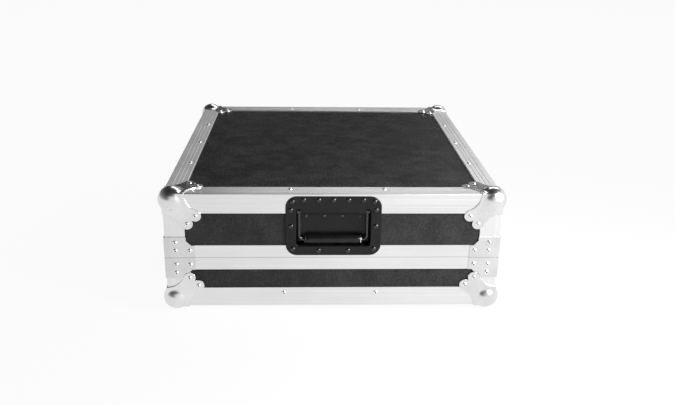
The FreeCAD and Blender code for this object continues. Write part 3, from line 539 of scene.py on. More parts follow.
@dataclass(frozen=True)
class Case:
    """Outside of the case, and its faces, as the frame has them.

    Attributes:
        half_wide, half_deep: half the width and half the depth over the faces.
        bottom, parting, top: heights of the base's underside, the parting line and the lid's top.
        leg: width of the edging's legs.
    """

    half_wide: float = 250.0
    half_deep: float = 275.0
    bottom: float = 11.0
    parting: float = 91.5
    top: float = 192.5
    leg: float = 30.5

    def outward(self, half: Half) -> Pair:
        """Sense of a half away from the parting line, and the height of its far edge over that line."""
        return (1.0, self.top - self.parting) if half is Half.LID else (-1.0, self.bottom - self.parting)

    def sides(self) -> dict[str, tuple[Face, float]]:
        """Upright faces with the parting line as their zero height.

        Returns:
            Each face by its name, with half its run.
        """
        wide, deep, level = self.half_wide, self.half_deep, self.parting
        return {
            "front": (Face((0, -deep, level), (1, 0, 0), (0, 0, 1)), wide),
            "right": (Face((wide, 0, level), (0, 1, 0), (0, 0, 1)), deep),
            "back": (Face((0, deep, level), (-1, 0, 0), (0, 0, 1)), wide),
            "left": (Face((-wide, 0, level), (0, -1, 0), (0, 0, 1)), deep),
        }

    def flat(self, half: Half) -> Face:
        """Top face of the lid, or bottom face of the base.

        Args:
            half: half that the face belongs to.
        Returns:
            The face.
        """
        if half is Half.LID:
            return Face((0, 0, self.top), (1, 0, 0), (0, 1, 0))
        return Face((0, 0, self.bottom), (1, 0, 0), (0, -1, 0))


CASE = Case()


class SubAssembly:
    """Group of pieces that belong together."""

    def dress(self, nodes: CadNodes) -> None:
        """Finish the CAD nodes that stay, where the group has any."""

    def build(self) -> list[bpy.types.Object]:
        """New pieces, where the group has any."""
        return []


@dataclass
class BallCorners(SubAssembly):
    """Pressed ball corners: a ball at the vertex, and a two-lobed plate on each of the three faces.

    Attributes:
        half: the half that they belong to.
        wall: thickness of the pressing.
        ball, sunk: the ball's radius, and the depth of its centre under the three faces.
        reach: how far the plate goes along the bent edges.
        near, far: the two distances of a lobe's centre from the edges.
        lobe: radius of a lobe.
        bend, roll: radii of the bent edges and of the rolled free edge.
        step: how far the lobes step down past the legs of the edging, over step_run from step_lead before.
        tip, tip_least: where a flat cuts the plates' vertex off, and the least cosine that it counts with.
        merge: width over which ball and plates flow together.
        rows, crowd: rings of the outer skin, and how much they crowd to the free edge.
        stride: rings of the outer skin for each one of the inner skin.
        cove_points, lobe_points: points on the arcs of the outline.
    """

    half: Half
    wall: float = 1.5
    ball: float = 20.0
    sunk: float = 12.0
    reach: float = 32.0
    near: float = 34.5
    far: float = 47.0
    lobe: float = 9.0
    bend: float = 2.2
    roll: float = 1.1
    step: float = 0.7
    step_lead: float = 1.0
    step_run: float = 6.0
    tip: float = 1.155
    tip_least: float = 0.2
    merge: float = 3.0
    rows: int = 40
    crowd: float = 1.6
    stride: int = 4
    cove_points: int = 15
    lobe_points: int = 17

    def outline(self) -> Array:
        """Plate's free edge on one face: cove, lobe, lobe and cove as tangent arcs.

        Returns:
            (p, q) rows from one bent edge to the other.
        """
        rise = self.far - self.reach
        cove = (self.near ** 2 + rise ** 2 - self.lobe ** 2) / (2 * (rise + self.lobe))
        slope = math.atan2(rise - cove, self.near)
        valley = math.acos((self.far - self.near) / math.sqrt(2) / self.lobe)
        few, many, middle = self.cove_points, self.lobe_points, QUARTER / 2
        arcs = [((self.reach + cove, 0.0), cove, 2 * QUARTER, QUARTER - slope, few),
                ((self.far, self.near), self.lobe, -QUARTER - slope, 3 * middle - valley, many),
                ((self.near, self.far), self.lobe, valley - middle, slope + 2 * QUARTER, many),
                ((0.0, self.reach + cove), cove, slope, -QUARTER, few)]
        runs = [np.array([[self.reach, -self.wall], [self.reach, -self.wall / 2]])]
        for centre, radius, start, end, count in arcs:
            angle = np.linspace(start, end, count, endpoint=False)
            runs.append(np.array(centre) + radius * np.stack([np.cos(angle), np.sin(angle)], axis=-1))
        runs.append(np.array([[0.0, self.reach], [-self.wall / 2, self.reach]]))
        return np.concatenate(runs)

    def skin(self, level: float, ball: float, bend: float, roll: float, share: Array) -> Array:
        """Rings of one skin of the corner, from the vertex out to the free edge.

        Lines fan out from the vertex as quadratic curves through the foot of the ball. A box with
        rounded edges carries them, and each point moves away from the ball's centre to the smooth
        maximum of its own distance and the ball's radius. Past the legs the lobes step down.

        Args:
            level: depth of the skin under the faces, below zero where it stands over them.
            ball: radius of the ball on this skin.
            bend: radius of the plate's bent edges.
            roll: radius of the rolled free edge, or 0.
            share: how far along its line each ring lies, from 0 to 1.
        Returns:
            Points of shape (rings, around, 3), in the corner's own frame with the case at +, +, +.
        """
        edge = self.outline()
        foot = level + (self.sunk - level) * smooth_step((edge + self.wall) / (self.ball + self.wall))
        edge = np.maximum(edge, level)
        t = share[:, None, None]
        flat = (1 - t) ** 2 * level + 2 * t * (1 - t) * foot + t ** 2 * edge
        away = np.linalg.norm(edge - flat, axis=-1)
        past = (flat - CASE.leg + self.step_lead) / self.step_run
        drop = self.step * np.prod(smooth_step(past), axis=-1)
        if roll:
            inset = np.clip(roll - away, 0.0, roll)
            drop = drop + roll - np.sqrt(roll * roll - inset * inset)
        height = np.full(flat.shape[:2], level)
        p, q = flat[..., 0], flat[..., 1]
        faces = [np.stack(axes, axis=-1) for axes in ((p, q, height), (height, p, q), (q, height, p))]
        points = np.concatenate(faces, axis=1)
        drop = np.concatenate([drop] * len(faces), axis=1)[..., None]
        core = np.maximum(points, level + bend)
        out = points - core
        out = out / np.linalg.norm(out, axis=-1, keepdims=True)
        ray = core + bend * out - self.sunk
        distance = np.linalg.norm(ray, axis=-1, keepdims=True)
        ray = ray / distance
        cosine = np.maximum(-ray.sum(-1, keepdims=True) / math.sqrt(3), self.tip_least)
        plate = np.minimum(distance, (self.sunk + self.wall) * self.tip / cosine)
        overlap = np.maximum(self.merge - np.abs(plate - ball), 0.0) / self.merge
        reach = np.maximum(plate, ball) + overlap ** 2 * self.merge / 4
        return self.sunk + ray * reach - out * drop

    def patch(self) -> Patch:
        """Closed shell of one corner: the outer skin, then the inner skin back to the vertex.

        Returns:
            The shell in the corner's own frame.
        """
        share = 1.0 - (1.0 - np.linspace(0.0, 1.0, self.rows)) ** self.crowd
        outer = self.skin(-self.wall, self.ball, self.bend, self.roll, share)
        inner = self.skin(0.0, self.ball - self.wall, self.bend - self.wall, 0.0, share[::-self.stride])
        return lofted(np.concatenate([outer[1:], inner[:-1]]), outer[0, 0], inner[-1, 0])

    def build(self) -> list[bpy.types.Object]:
        """Put one corner at each of the four vertices of this half.

        Returns:
            The four corners as one piece.
        """
        name = self.half.value
        level, down = (CASE.top, -1.0) if self.half is Half.LID else (CASE.bottom, 1.0)
        signs = np.array([(sx, sy) for sx in BOTH for sy in BOTH], float)
        spots = np.column_stack([signs * (CASE.half_wide, CASE.half_deep), np.full(len(signs), level)])
        axes = np.array([np.diag([-sx, -sy, down]) for sx, sy in signs])
        shells = copied(self.patch(), spots, axes)
        return [add_piece(f"{name}_ball_corner_shells", shells, PLATED, name, [f"{name}_ball_corners"])]


@dataclass
class Rivets(SubAssembly):
    """Domed blind rivets, each with the end of its drawn pin, coloured near black as painted shade of its
    hole.

    Attributes:
        name, body, finish: name of the heads' piece, the body that it rides on, and its finish.
        replaced: CAD node that the heads stand for.
        head, rise: radius and height of the dome.
        hole, hole_deep, hole_taper: radius and depth of the hole, and the share of it that is left below.
        skirt: how far the head goes down into its seat.
        arc: places of the dome's rings, as shares of its arc.
        pin_fit, pin_low: the pin's share of the hole, and its depth under the hole's lip.
        pin_tall, pin_crown: height of the pin's end, and the crown on it.
        around, pin_around: points round a head and round a pin.
        sharp: angle past which an edge of the head is left sharp.
        spots, axes: places noted so far, and the directions at each.
    """

    name: str
    body: str
    finish: Finish
    replaced: str
    head: float = 3.6
    rise: float = 1.9
    hole: float = 1.2
    hole_deep: float = 0.5
    hole_taper: float = 0.9
    skirt: float = 0.3
    arc: tuple[float, ...] = (0.0, 0.3, 0.62, 0.92, 1.0)
    around: int = 14
    pin_fit: float = 0.97
    pin_low: float = 0.12
    pin_tall: float = 0.25
    pin_crown: float = 0.05
    pin_around: int = 8
    sharp: float = 60.0
    spots: list[Array] = field(default_factory=list)
    axes: list[Array] = field(default_factory=list)

    def at(self, face: Face, u: float, v: float, seat: float) -> None:
        """Note a rivet at (u, v) of a face, on a seat that stands over it."""
        self.spots.append(face.place(np.array([u, v, seat])))
        self.axes.append(face.axes())

    @property
    def last(self) -> float:
        """Angle along the dome at which the hole begins."""
        return math.acos(self.hole / self.head)

    def dome(self) -> Patch:
        """Half ellipse (head cos t, rise sin t) turned about its axis, down into a small hole.

        Returns:
            A closed head that stands on its seat.
        """
        t = np.array(self.arc) * self.last
        well = self.rise * math.sin(self.last) - self.hole_deep
        narrow = self.hole * self.hole_taper
        radius = np.concatenate([[0.0, self.head], self.head * np.cos(t), [narrow, 0.0]])
        height = np.concatenate([[-self.skirt, -self.skirt], self.rise * np.sin(t), [well, well]])
        return turned(np.stack([radius, height], axis=-1), self.around)

    def pin(self) -> Patch:
        """Short crowned cylinder turned about its axis: the end of the drawn pin, just inside the hole,
        dressed near black as painted shade of the hole.

        Returns:
            A closed end.
        """
        lip, radius = self.rise * math.sin(self.last) - self.pin_low, self.hole * self.pin_fit
        foot = lip - self.pin_tall
        profile = [(0.0, foot - self.pin_crown), (radius, foot), (radius, lip), (0.0, lip + self.pin_crown)]
        return turned(np.array(profile), self.pin_around)

    def build(self) -> list[bpy.types.Object]:
        """Copy head and pin end to every place.

        Returns:
            All the heads as one piece, and all the pin ends, near black as painted shade of the holes, as
            another.
        """
        spots, axes = np.array(self.spots), np.array(self.axes)
        heads, pins = copied(self.dome(), spots, axes), copied(self.pin(), spots, axes)
        return [add_piece(self.name, heads, self.finish, self.body, [self.replaced], self.sharp),
                # The pin ends carry the near black finish, painted shade of the holes.
                add_piece(f"{self.name}_pins", pins, PIN_END_PAINTED_SHADE, self.body)]


@dataclass
class CaseRivets(SubAssembly):
    """Rivets of one half: in the ball corners, the braces, the edging and the latch flanges.

    Attributes:
        corner: ball corners that the rivets hold.
        plate: thickness of the braces and the latch flanges.
        brace_holes: places in a brace, from the corner's edge and from the parting line.
        edge_x, edge_y: places along the edging, from its middle.
        edge_in: distance of those from the outer edge.
        lid_shift, base_shift: how far the front pairs of lid and base sit off the middle.
        latch_u, latch_near, latch_far: places in a latch flange, from its middle and from its two ends.
        keeper_tall, latch_tall: height of the flange in lid and base.
    """

    half: Half
    corner: BallCorners
    plate: float = 1.2
    brace_holes: tuple[Pair, ...] = ((15.5, 11.2), (15.5, 24.5), (36.5, 11.2))
    edge_x: float = 70.0
    edge_y: float = 123.0
    edge_in: float = 21.6
    lid_shift: float = 6.0
    base_shift: float = -4.0
    latch_u: float = 30.5
    latch_near: float = 10.0
    latch_far: float = 7.0
    keeper_tall: float = 36.0
    latch_tall: float = 45.0

    def on_sides(self, heads: Rivets, lobes: Sequence[Pair], seat: float) -> None:
        """Note the rivets of the four upright faces.

        Args:
            heads: rivets to add to.
            lobes: places in the ball corners' lobes.
            seat: height of the lobes over the face.
        """
        up, end = CASE.outward(self.half)
        tall = self.keeper_tall if self.half is Half.LID else self.latch_tall
        for side, (face, run) in CASE.sides().items():
            for sign in BOTH:
                for along, high in lobes:
                    heads.at(face, sign * (run - along), end - up * high, seat)
                for along, high in self.brace_holes:
                    heads.at(face, sign * (run - along), up * high, self.plate)
                if self.half is Half.BASE and side in ("front", "back"):
                    shift = self.base_shift if side == "front" else 0.0
                    heads.at(face, sign * self.edge_x + shift, end - up * self.edge_in, 0.0)
                if side in ("left", "right"):
                    for high in (self.latch_near, tall - self.latch_far):
                        heads.at(face, sign * self.latch_u, up * high, self.plate)

    def on_flat(self, heads: Rivets, lobes: Sequence[Pair], seat: float) -> None:
        """Note the rivets of the lid's top or of the base's underside.

        Args:
            heads: rivets to add to.
            lobes: places in the ball corners' lobes.
            seat: height of the lobes over the face.
        """
        flat = CASE.flat(self.half)
        for sx in BOTH:
            for sy in BOTH:
                for along, deep in lobes:
                    heads.at(flat, sx * (CASE.half_wide - along), sy * (CASE.half_deep - deep), seat)
                shift = self.lid_shift if self.half is Half.LID and sy < 0 else 0.0
                heads.at(flat, sx * self.edge_x + shift, sy * (CASE.half_deep - self.edge_in), 0.0)
            for y in (-self.edge_y, 0.0, self.edge_y):
                heads.at(flat, sx * (CASE.half_wide - self.edge_in), y, 0.0)

    def build(self) -> list[bpy.types.Object]:
        """Place every rivet of the half.

        Returns:
            The heads and the pin ends.
        """
        name, corner = self.half.value, self.corner
        heads = Rivets(f"{name}_rivet_heads", name, RIVET, f"{name}_rivets")
        lobes = ((corner.near, corner.far), (corner.far, corner.near))
        seat = corner.wall - corner.step
        self.on_sides(heads, lobes, seat)
        self.on_flat(heads, lobes, seat)
        return heads.build()


@dataclass
class Edging(SubAssembly):
    """Aluminium edging of one half: its CAD extrusions, and the fine drawn ribs along their legs.

    Attributes:
        ribs: distances of the ribs from the outer edge.
        low: width and height of most ribs.
        steep: width and height of the ribs from front to back on the flat.
        lip: width and height of the innermost of those.
        sunk: how far a rib goes down into the leg.
        points: points over a rib.
        end_gap, post_gap, plate_gap: where ribs stop short of the corners, the braces and the plates.
        handle_gap: where the lid's front ribs stop short of the handle.
        sharp: angle past which an edge of a rib is left sharp.
    """

    half: Half
    ribs: tuple[float, ...] = (9.5, 16.0, 22.0, 29.3)
    low: Pair = (1.8, 0.13)
    steep: Pair = (1.4, 0.42)
    lip: Pair = (2.0, 0.9)
    sunk: float = 0.1
    points: int = 9
    end_gap: float = 37.0
    post_gap: float = 33.4
    plate_gap: float = 30.0
    handle_gap: float = 69.0
    sharp: float = 70.0

    def rib(self, face: Face, u: Pair, v: Pair, size: Pair) -> Patch:
        """Low bead of height h (1 + cos a) / 2 over its width, carried along a line and closed at its ends.

        Args:
            face: face that it lies on.
            u: where it starts and ends along the face.
            v: where it starts and ends up the face; either u or v stays the same.
            size: its width and height.
        Returns:
            The bead.
        """
        width, proud = size
        across = np.array([1.0, 0.0, 0.0]) if u[0] == u[1] else np.array([0.0, 1.0, 0.0])
        out = np.array([0.0, 0.0, 1.0])
        angle = np.linspace(-math.pi, math.pi, self.points)[:, None]
        bead = -width / 2 * angle / math.pi * across + proud / 2 * (1 + np.cos(angle)) * out
        foot = np.array([-across * width / 2, across * width / 2]) - self.sunk * out
        section = np.concatenate([bead, foot])
        ends = np.array([[u[0], v[0], 0.0], [u[1], v[1], 0.0]])
        rows = face.place(ends[:, None] + section)
        return lofted(rows, rows[0].mean(0), rows[1].mean(0))

    def build(self) -> list[bpy.types.Object]:
        """Lay the ribs of the long edges and of the corner posts.

        Returns:
            The ribs along each way as one piece.
        """
        up, end = CASE.outward(self.half)
        flat = CASE.flat(self.half)
        runs: dict[Run, list[Patch]] = {Run.X: [], Run.Y: [], Run.Z: []}
        for side, (face, run) in CASE.sides().items():
            reach = run - self.end_gap
            spans = [(-reach, reach)]
            if side == "front" and self.half is Half.LID:
                spans = [(-reach, -self.handle_gap), (self.handle_gap, reach)]
            long = Run.X if side in ("front", "back") else Run.Y
            rise = (up * self.post_gap, end - up * self.plate_gap)
            for inset in self.ribs:
                high = end - up * inset
                runs[long] += [self.rib(face, span, (high, high), self.low) for span in spans]
                for u in (inset - run, run - inset):
                    runs[Run.Z].append(self.rib(face, (u, u), rise, self.low))
        across, deep = CASE.half_wide - self.end_gap, CASE.half_deep - self.end_gap
        for inset in self.ribs:
            size = self.lip if inset == self.ribs[-1] else self.steep
            for sign in BOTH:
                v = sign * (CASE.half_deep - inset)
                runs[Run.X].append(self.rib(flat, (-across, across), (v, v), self.low))
                u = sign * (CASE.half_wide - inset)
                runs[Run.Y].append(self.rib(flat, (u, u), (-deep, deep), size))
        name = self.half.value
        return [add_piece(f"{name}_edge_ribs_{run.name.lower()}", Patch.joined(patches), aluminium(run),
                          name, sharp=self.sharp) for run, patches in runs.items()]

    def dress(self, nodes: CadNodes) -> None:
        """Give the extrusions, posts, rims and braces their metal.

        Args:
            nodes: CAD nodes by name.
        """
        name = self.half.value
        WARDROBE.dress_all(nodes, [f"{name}_edge_front", f"{name}_edge_back"], aluminium(Run.X))
        WARDROBE.dress_all(nodes, [f"{name}_edge_left", f"{name}_edge_right"], aluminium(Run.Y))
        WARDROBE.dress(nodes[f"{name}_corner_posts"], aluminium(Run.Z))
        WARDROBE.dress(nodes[f"{name}_rims"], aluminium(Run.LEVEL))
        WARDROBE.dress(nodes[f"{name}_corner_braces"], BRACE)


@dataclass
class Handle(SubAssembly):
    """Recessed sprung handle: pressed dish with its rivets, bail and moulded grip.

    Attributes:
        wide, tall, corner, middle: the flange's size, its corners and its height over the parting line.
        recess_wide, recess_tall, recess_corner, recess_middle: the same of the recess.
        sheet, deep: thickness of the pressing and depth of the recess.
        least_corner: radius below which no ring's corners go.
        hood_half, hood_side, hood_drop: half width of the hood before the hinge, its slope and its drop.
        top_points, top_share: points on each stretch of a ring's top side, and the middle stretch's share.
        pin_deep, grip_v: depth of the bail, and height of its lower run.
        grip_half, grip_radius: half length and radius of the grip.
        grip_end: profile of a grip's end, as drops below its radius and distances from its end.
        collar_in, collar_wide, collar_proud: place, half width and height of the bright ring on the grip.
        rivet_head, rivet_rise, rivet_hole: shape of the flange's rivets.
        rivet_top, rivet_edge: distance of the rivets from the flange's top and from its other edges.
        rivet_step, rivet_corner, rivet_shoulder: their steps along it, at its corners and up its sides.
        grip_around, collar_points: points round the grip, and on the collar's half circle.
        dish_sharp: angle past which an edge of the dish is left sharp.
    """

    wide: float = 142.0
    tall: float = 93.6
    corner: float = 17.0
    middle: float = 50.5
    recess_wide: float = 110.6
    recess_tall: float = 58.6
    recess_corner: float = 4.5
    recess_middle: float = 47.9
    sheet: float = 1.2
    deep: float = 15.0
    least_corner: float = 0.8
    hood_half: float = 47.0
    hood_side: float = 2.2
    hood_drop: float = 5.3
    top_points: int = 7
    top_share: float = 0.8
    pin_deep: float = 7.3
    grip_v: float = 26.1
    grip_half: float = 43.6
    grip_radius: float = 6.6
    grip_around: int = 36
    grip_end: tuple[Pair, ...] = ((1.2, 0.0), (0.4, 0.3), (0.0, 1.0), (0.0, 2.2),
                                  (0.5, 2.8), (0.5, 3.6), (0.1, 4.2), (0.0, 8.0))
    collar_in: float = 2.4
    collar_wide: float = 0.7
    collar_proud: float = 0.15
    collar_points: int = 9
    rivet_head: float = 4.0
    rivet_rise: float = 2.7
    rivet_hole: float = 0.8
    rivet_top: float = 5.6
    rivet_edge: float = 8.0
    rivet_step: float = 22.0
    rivet_corner: float = 2.5
    rivet_shoulder: float = 25.5
    dish_sharp: float = 50.0

    def ring(self, inset: float, level: float, recess: bool, hood: float = 0.0) -> Array:
        """Ring of the recess or of the flange, as a rounded rectangle.

        Args:
            inset: how far it is drawn in.
            level: its height over the face.
            recess: whether it belongs to the recess or to the flange.
            hood: share of the hood's drop that its top side takes between the bail's arms.
        Returns:
            (u, v, n) rows.
        """
        wide, tall, corner, middle = (
            (self.recess_wide, self.recess_tall, self.recess_corner, self.recess_middle) if recess
            else (self.wide, self.tall, self.corner, self.middle))
        straight = self.recess_wide / 2 - self.recess_corner
        slope = np.linspace(self.hood_half + self.hood_side, self.hood_half, self.top_points) / straight
        between = np.linspace(self.top_share, -self.top_share, self.top_points)
        run = np.concatenate([slope, between, -slope[::-1]])
        radius = max(corner - inset, self.least_corner)
        flat = rounded_ring(wide / 2 - inset, tall / 2 - inset, radius, top=run)
        over = 1.0 - smooth_step((np.abs(flat[:, 0]) - self.hood_half) / self.hood_side)
        drop = hood * self.hood_drop * over * (flat[:, 1] > 0)
        return np.column_stack([flat[:, 0], flat[:, 1] + middle - drop, np.full(len(flat), level)])

    def dish(self, face: Face) -> Patch:
        """Pressed dish: rounded rectangles lofted from the floor up the walls, over a bead and the flange.

        The rows give each ring's inset and its height over the face. The inside rows also give the share
        of the hood's drop: the bead's rings hang down before the hinge, between the arms of the bail.

        Args:
            face: face of the case that the dish is let into.
        Returns:
            A closed skin.
        """
        top, floor = self.sheet, -self.deep
        inside = [(9.0, floor, 0.0), (3.6, floor, 0.0), (2.2, floor + 0.35, 0.0), (1.2, floor + 1.0, 0.0),
                  (0.6, floor + 2.0, 0.0), (0.4, floor + 3.4, 0.0), (0.1, -2.2, 0.0), (0.0, -1.0, 0.3),
                  (0.0, -0.2, 0.9), (-0.1, 0.5, 1.0), (-0.4, 1.0, 1.0), (-0.9, 1.3, 1.0),
                  (-1.8, 1.4, 0.98), (-2.8, 1.35, 0.95), (-4.2, top, 0.9), (-6.5, top, 0.0)]
        rim = [(1.6, top), (0.8, top), (0.3, 0.95), (0.05, 0.6), (0.0, 0.0), (1.5, 0.0)]
        under = [(-1.3, 0.0), (-1.2, -3.0), (-1.1, floor + 1.0), (2.0, floor - top)]
        rows = [self.ring(inset, level, True, hood) for inset, level, hood in inside]
        rows += [self.ring(inset, level, False) for inset, level in rim]
        rows += [self.ring(inset, level, True) for inset, level in under]
        first, last = face.place(np.array([[0, self.recess_middle, n] for n in (floor, floor - top)]))
        return lofted(face.place(np.array(rows)), first, last)

    def rivets(self, face: Face) -> Rivets:
        """Black rivets round the flange.

        Args:
            face: face of the case that the flange lies on.
        Returns:
            The rivets, not yet built.
        """
        heads = Rivets("handle_rivet_heads", "lid", BLACK_RIVET, "handle_rivets",
                       head=self.rivet_head, rise=self.rivet_rise, hole=self.rivet_hole)
        top, low = self.tall / 2 - self.rivet_top, self.rivet_edge - self.tall / 2
        side = self.wide / 2 - self.rivet_edge
        across = side - self.rivet_corner
        heads.at(face, 0.0, self.middle + top, self.sheet)
        for sign in BOTH:
            for u, v in ((self.rivet_step, top), (2 * self.rivet_step, top),
                         (across, top - self.rivet_corner), (side, self.rivet_shoulder), (side, 0.0),
                         (across, low + self.rivet_corner), (self.rivet_step, low)):
                heads.at(face, sign * u, self.middle + v, self.sheet)
        return heads

    def about_grip(self, face: Face, profile: Array) -> Patch:
        """Profile turned about the bail's lower run.

        Args:
            face: face of the case that the handle is let into.
            profile: rows of radius and place along the run, of which the first and last lie on its axis.
        Returns:
            A closed skin.
        """
        skin = turned(profile, self.grip_around)
        x, y, z = skin.points.T
        points = np.column_stack([z, self.grip_v + x, y - self.pin_deep])
        return Patch(face.place(points), skin.quads, skin.tris)

    def grip(self, face: Face) -> Patch:
        """Moulded sleeve turned about the bail's lower run, with a bead at each end.

        Args:
            face: face of the case that the handle is let into.
        Returns:
            A closed skin.
        """
        half, radius = self.grip_half, self.grip_radius
        end = [(0.0, half)] + [(radius - drop, half - back) for drop, back in self.grip_end]
        return self.about_grip(face, np.array(end + [(r, -h) for r, h in reversed(end)]))

    def collar(self, face: Face) -> Patch:
        """Bright ring near the grip's right end: a half circle of its own width turned about the bail.

        Args:
            face: face of the case that the handle is let into.
        Returns:
            A closed skin.
        """
        wide, middle = self.collar_wide, self.grip_half - self.collar_in
        radius = self.grip_radius + self.collar_proud - wide
        turn = np.linspace(-QUARTER, QUARTER, self.collar_points)
        outer = np.stack([radius + wide * np.cos(turn), middle + wide * np.sin(turn)], axis=-1)
        first, last = [[0.0, middle - wide]], [[0.0, middle + wide]]
        return self.about_grip(face, np.concatenate([first, outer, last]))

    def build(self) -> list[bpy.types.Object]:
        """Make the dish, its rivets, the grip and its collar.

        Returns:
            The pieces.
        """
        face = CASE.sides()["front"][0]
        return [add_piece("handle_dish_pressing", self.dish(face), POWDER, "lid", ["handle_dish"],
                          self.dish_sharp),
                *self.rivets(face).build(),
                add_piece("handle_grip_sleeve", self.grip(face), GRIP, "handle", ["handle_grip"]),
                add_piece("handle_grip_collar", self.collar(face), RIVET, "handle")]

    def dress(self, nodes: CadNodes) -> None:
        """Finish the bail and what is left of the handle from the CAD.

        Args:
            nodes: CAD nodes by name.
        """
        WARDROBE.dress(nodes["handle_bail"], ENAMEL)
        # The strap's rivets are a dark grey, a little lighter than the black coat of the strap.
        WARDROBE.dress(nodes["handle_strap_rivets"], LIGHT_GREY_RIVET)
        WARDROBE.dress_all(nodes, ["handle_hinge_pin", "handle_hinge_strap"], POWDER)
        WARDROBE.dress(nodes["handle_springs"], ZINC)


@dataclass
class Lining(SubAssembly):
    """Foam lining: crowned blocks round and under the mixer's bay.

    Attributes:
        depth: depth of the foam's back under the case's faces.
        bay_wide, bay_deep: the bay.
        gap: gap between neighbouring blocks.
        latch_half, latch_deep, handle_half, handle_deep: half width and depth of the notches.
        soft, steps: radius of a block's upper and lower edges, and points on it.
        waist: how far the sides pull in.
        crown, crown_in, crown_most: how far the faces crown, from where, and the most of a thin block.
        corner, corner_loss, corner_least: radius of the upright edges, its loss inwards, and its least.
        sharp: angle past which an edge is left sharp.
    """

    depth: float = 12.8
    bay_wide: float = 408.0
    bay_deep: float = 458.0
    gap: float = 0.5
    latch_half: float = 28.2
    latch_deep: float = 21.2
    handle_half: float = 58.2
    handle_deep: float = 17.9
    soft: float = 3.5
    steps: int = 5
    waist: float = 0.7
    crown: float = 0.5
    crown_in: float = 12.0
    crown_most: float = 0.8
    corner: float = 4.0
    corner_loss: float = 0.3
    corner_least: float = 1.0
    sharp: float = 50.0

    def block(self, low: Array, high: Array) -> Patch:
        """Foam block of rounded rectangles stacked along Z.

        A quarter circle draws them in at top and bottom, the sides pull in half way up, and the top and
        bottom crown by a little.

        Args:
            low: lowest corner of the block.
            high: highest corner of the block.
        Returns:
            A closed skin.
        """
        middle, half = (low + high) / 2, (high - low) / 2
        soft, tall = self.soft, half[2]
        turn = np.linspace(0.0, QUARTER, self.steps)
        inset = np.concatenate([[self.crown_in], soft - soft * np.sin(turn), [self.waist],
                                soft - soft * np.cos(turn), [self.crown_in]])
        level = np.concatenate([[-tall], self.crown - tall + soft - soft * np.cos(turn), [0.0],
                                tall - self.crown - soft + soft * np.sin(turn), [tall]])
        inset = np.minimum(inset, half[:2].min() * self.crown_most)
        rings = []
        for d, h in zip(inset, level):
            radius = max(self.corner - d * self.corner_loss, self.corner_least)
            ring = rounded_ring(half[0] - d, half[1] - d, radius, self.steps)
            rings.append(np.column_stack([ring, np.full(len(ring), h)]))
        rows = np.array(rings) + middle
        return lofted(rows, rows[0].mean(0), rows[-1].mean(0))

    def side(self, face: Face, heights: Pair, inner: float, end: float, notch: Pair) -> list[Patch]:
        """Blocks of one side wall, split round a notch in the back of it.

        Args:
            face: the case's face behind the wall.
            heights: lowest and highest height over the parting line.
            inner: depth of the wall's face on the bay.
            end: half the wall's run.
            notch: half width of the notch and its depth, or zeros.
        Returns:
            The blocks.
        """
        half, deep = notch
        spans = [(-end, end, self.depth)]
        if half:
            spans = [(-end, -half, self.depth), (half, end, self.depth),
                     (self.gap - half, half - self.gap, deep)]
        made = []
        for left, right, back in spans:
            corners = face.place(np.array([[left, heights[0], -inner], [right, heights[1], -back]]))
            made.append(self.block(corners.min(0), corners.max(0)))
        return made

    def walls(self, half: Half) -> Patch:
        """All the wall blocks of one half, between the heights of their CAD node.

        Args:
            half: the half that they line.
        Returns:
            The blocks as one patch.
        """
        low, high = (v.z / MM - CASE.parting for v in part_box(f"{half.value}_foam_walls"))
        patches = []
        for side, (face, _) in CASE.sides().items():
            inner, end = CASE.half_wide - self.bay_wide / 2, self.bay_deep / 2 - self.gap
            notch = (self.latch_half, self.latch_deep)
            if side in ("front", "back"):
                inner, end = CASE.half_deep - self.bay_deep / 2, CASE.half_wide - self.depth
                notch = (0.0, 0.0)
            if side == "front" and half is Half.LID:
                notch = (self.handle_half, self.handle_deep)
            patches += self.side(face, (low, high), inner, end, notch)
        return Patch.joined(patches)

    def build(self) -> list[bpy.types.Object]:
        """Make the pads and walls, and say that they are foam.

        Returns:
            A pad and its walls for each half.
        """
        pieces = []
        for half, pad in ((Half.BASE, "base_foam_floor"), (Half.LID, "lid_foam_pad")):
            low, high = (np.array(v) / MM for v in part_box(pad))
            walls = f"{half.value}_foam_walls"
            for name, node, patch in ((f"{pad}_block", pad, self.block(low, high)),
                                      (f"{walls}_blocks", walls, self.walls(half))):
                piece = add_piece(name, patch, FOAM, half.value, [node], self.sharp)
                pieces.append(piece)
        return pieces


@dataclass
class Feet(SubAssembly):
    """Four rubber feet, turned, with a well for the screw.

    Attributes:
        radius, tip: radius of a foot at its top and at its tip.
        well, well_deep: radius and depth of the well.
        from_edge: distance of a foot's middle from the case's faces.
        around: points round a foot.
    """

    radius: float = 19.0
    tip: float = 16.0
    well: float = 5.4
    well_deep: float = 7.0
    from_edge: float = 90.0
    around: int = 40

    def build(self) -> list[bpy.types.Object]:
        """Turn one foot, with small rounds at its well, tip and top, and set it in the four places.

        Returns:
            The four feet as one piece.
        """
        tall = CASE.bottom
        profile = [(0.0, self.well_deep), (self.well, self.well_deep), (self.well, 0.6),
                   (self.well + 0.6, 0.0), (self.tip - 1.2, 0.0), (self.tip - 0.3, 0.4),
                   (self.tip + 0.1, 1.2), (self.radius - 0.5, tall - 1.5), (self.radius, tall - 0.6),
                   (self.radius, tall), (0.0, tall)]
        x, y = CASE.half_wide - self.from_edge, CASE.half_deep - self.from_edge
        spots = np.array([(sx * x, sy * y, 0.0) for sx in BOTH for sy in BOTH])
        feet = copied(turned(np.array(profile), self.around), spots, np.array([np.eye(3)] * len(spots)))
        return [add_piece("rubber_feet_turned", feet, RUBBER, "base", ["rubber_feet"])]

    def dress(self, nodes: CadNodes) -> None:
        """Finish the screws."""
        WARDROBE.dress(nodes["foot_screws"], ZINC)


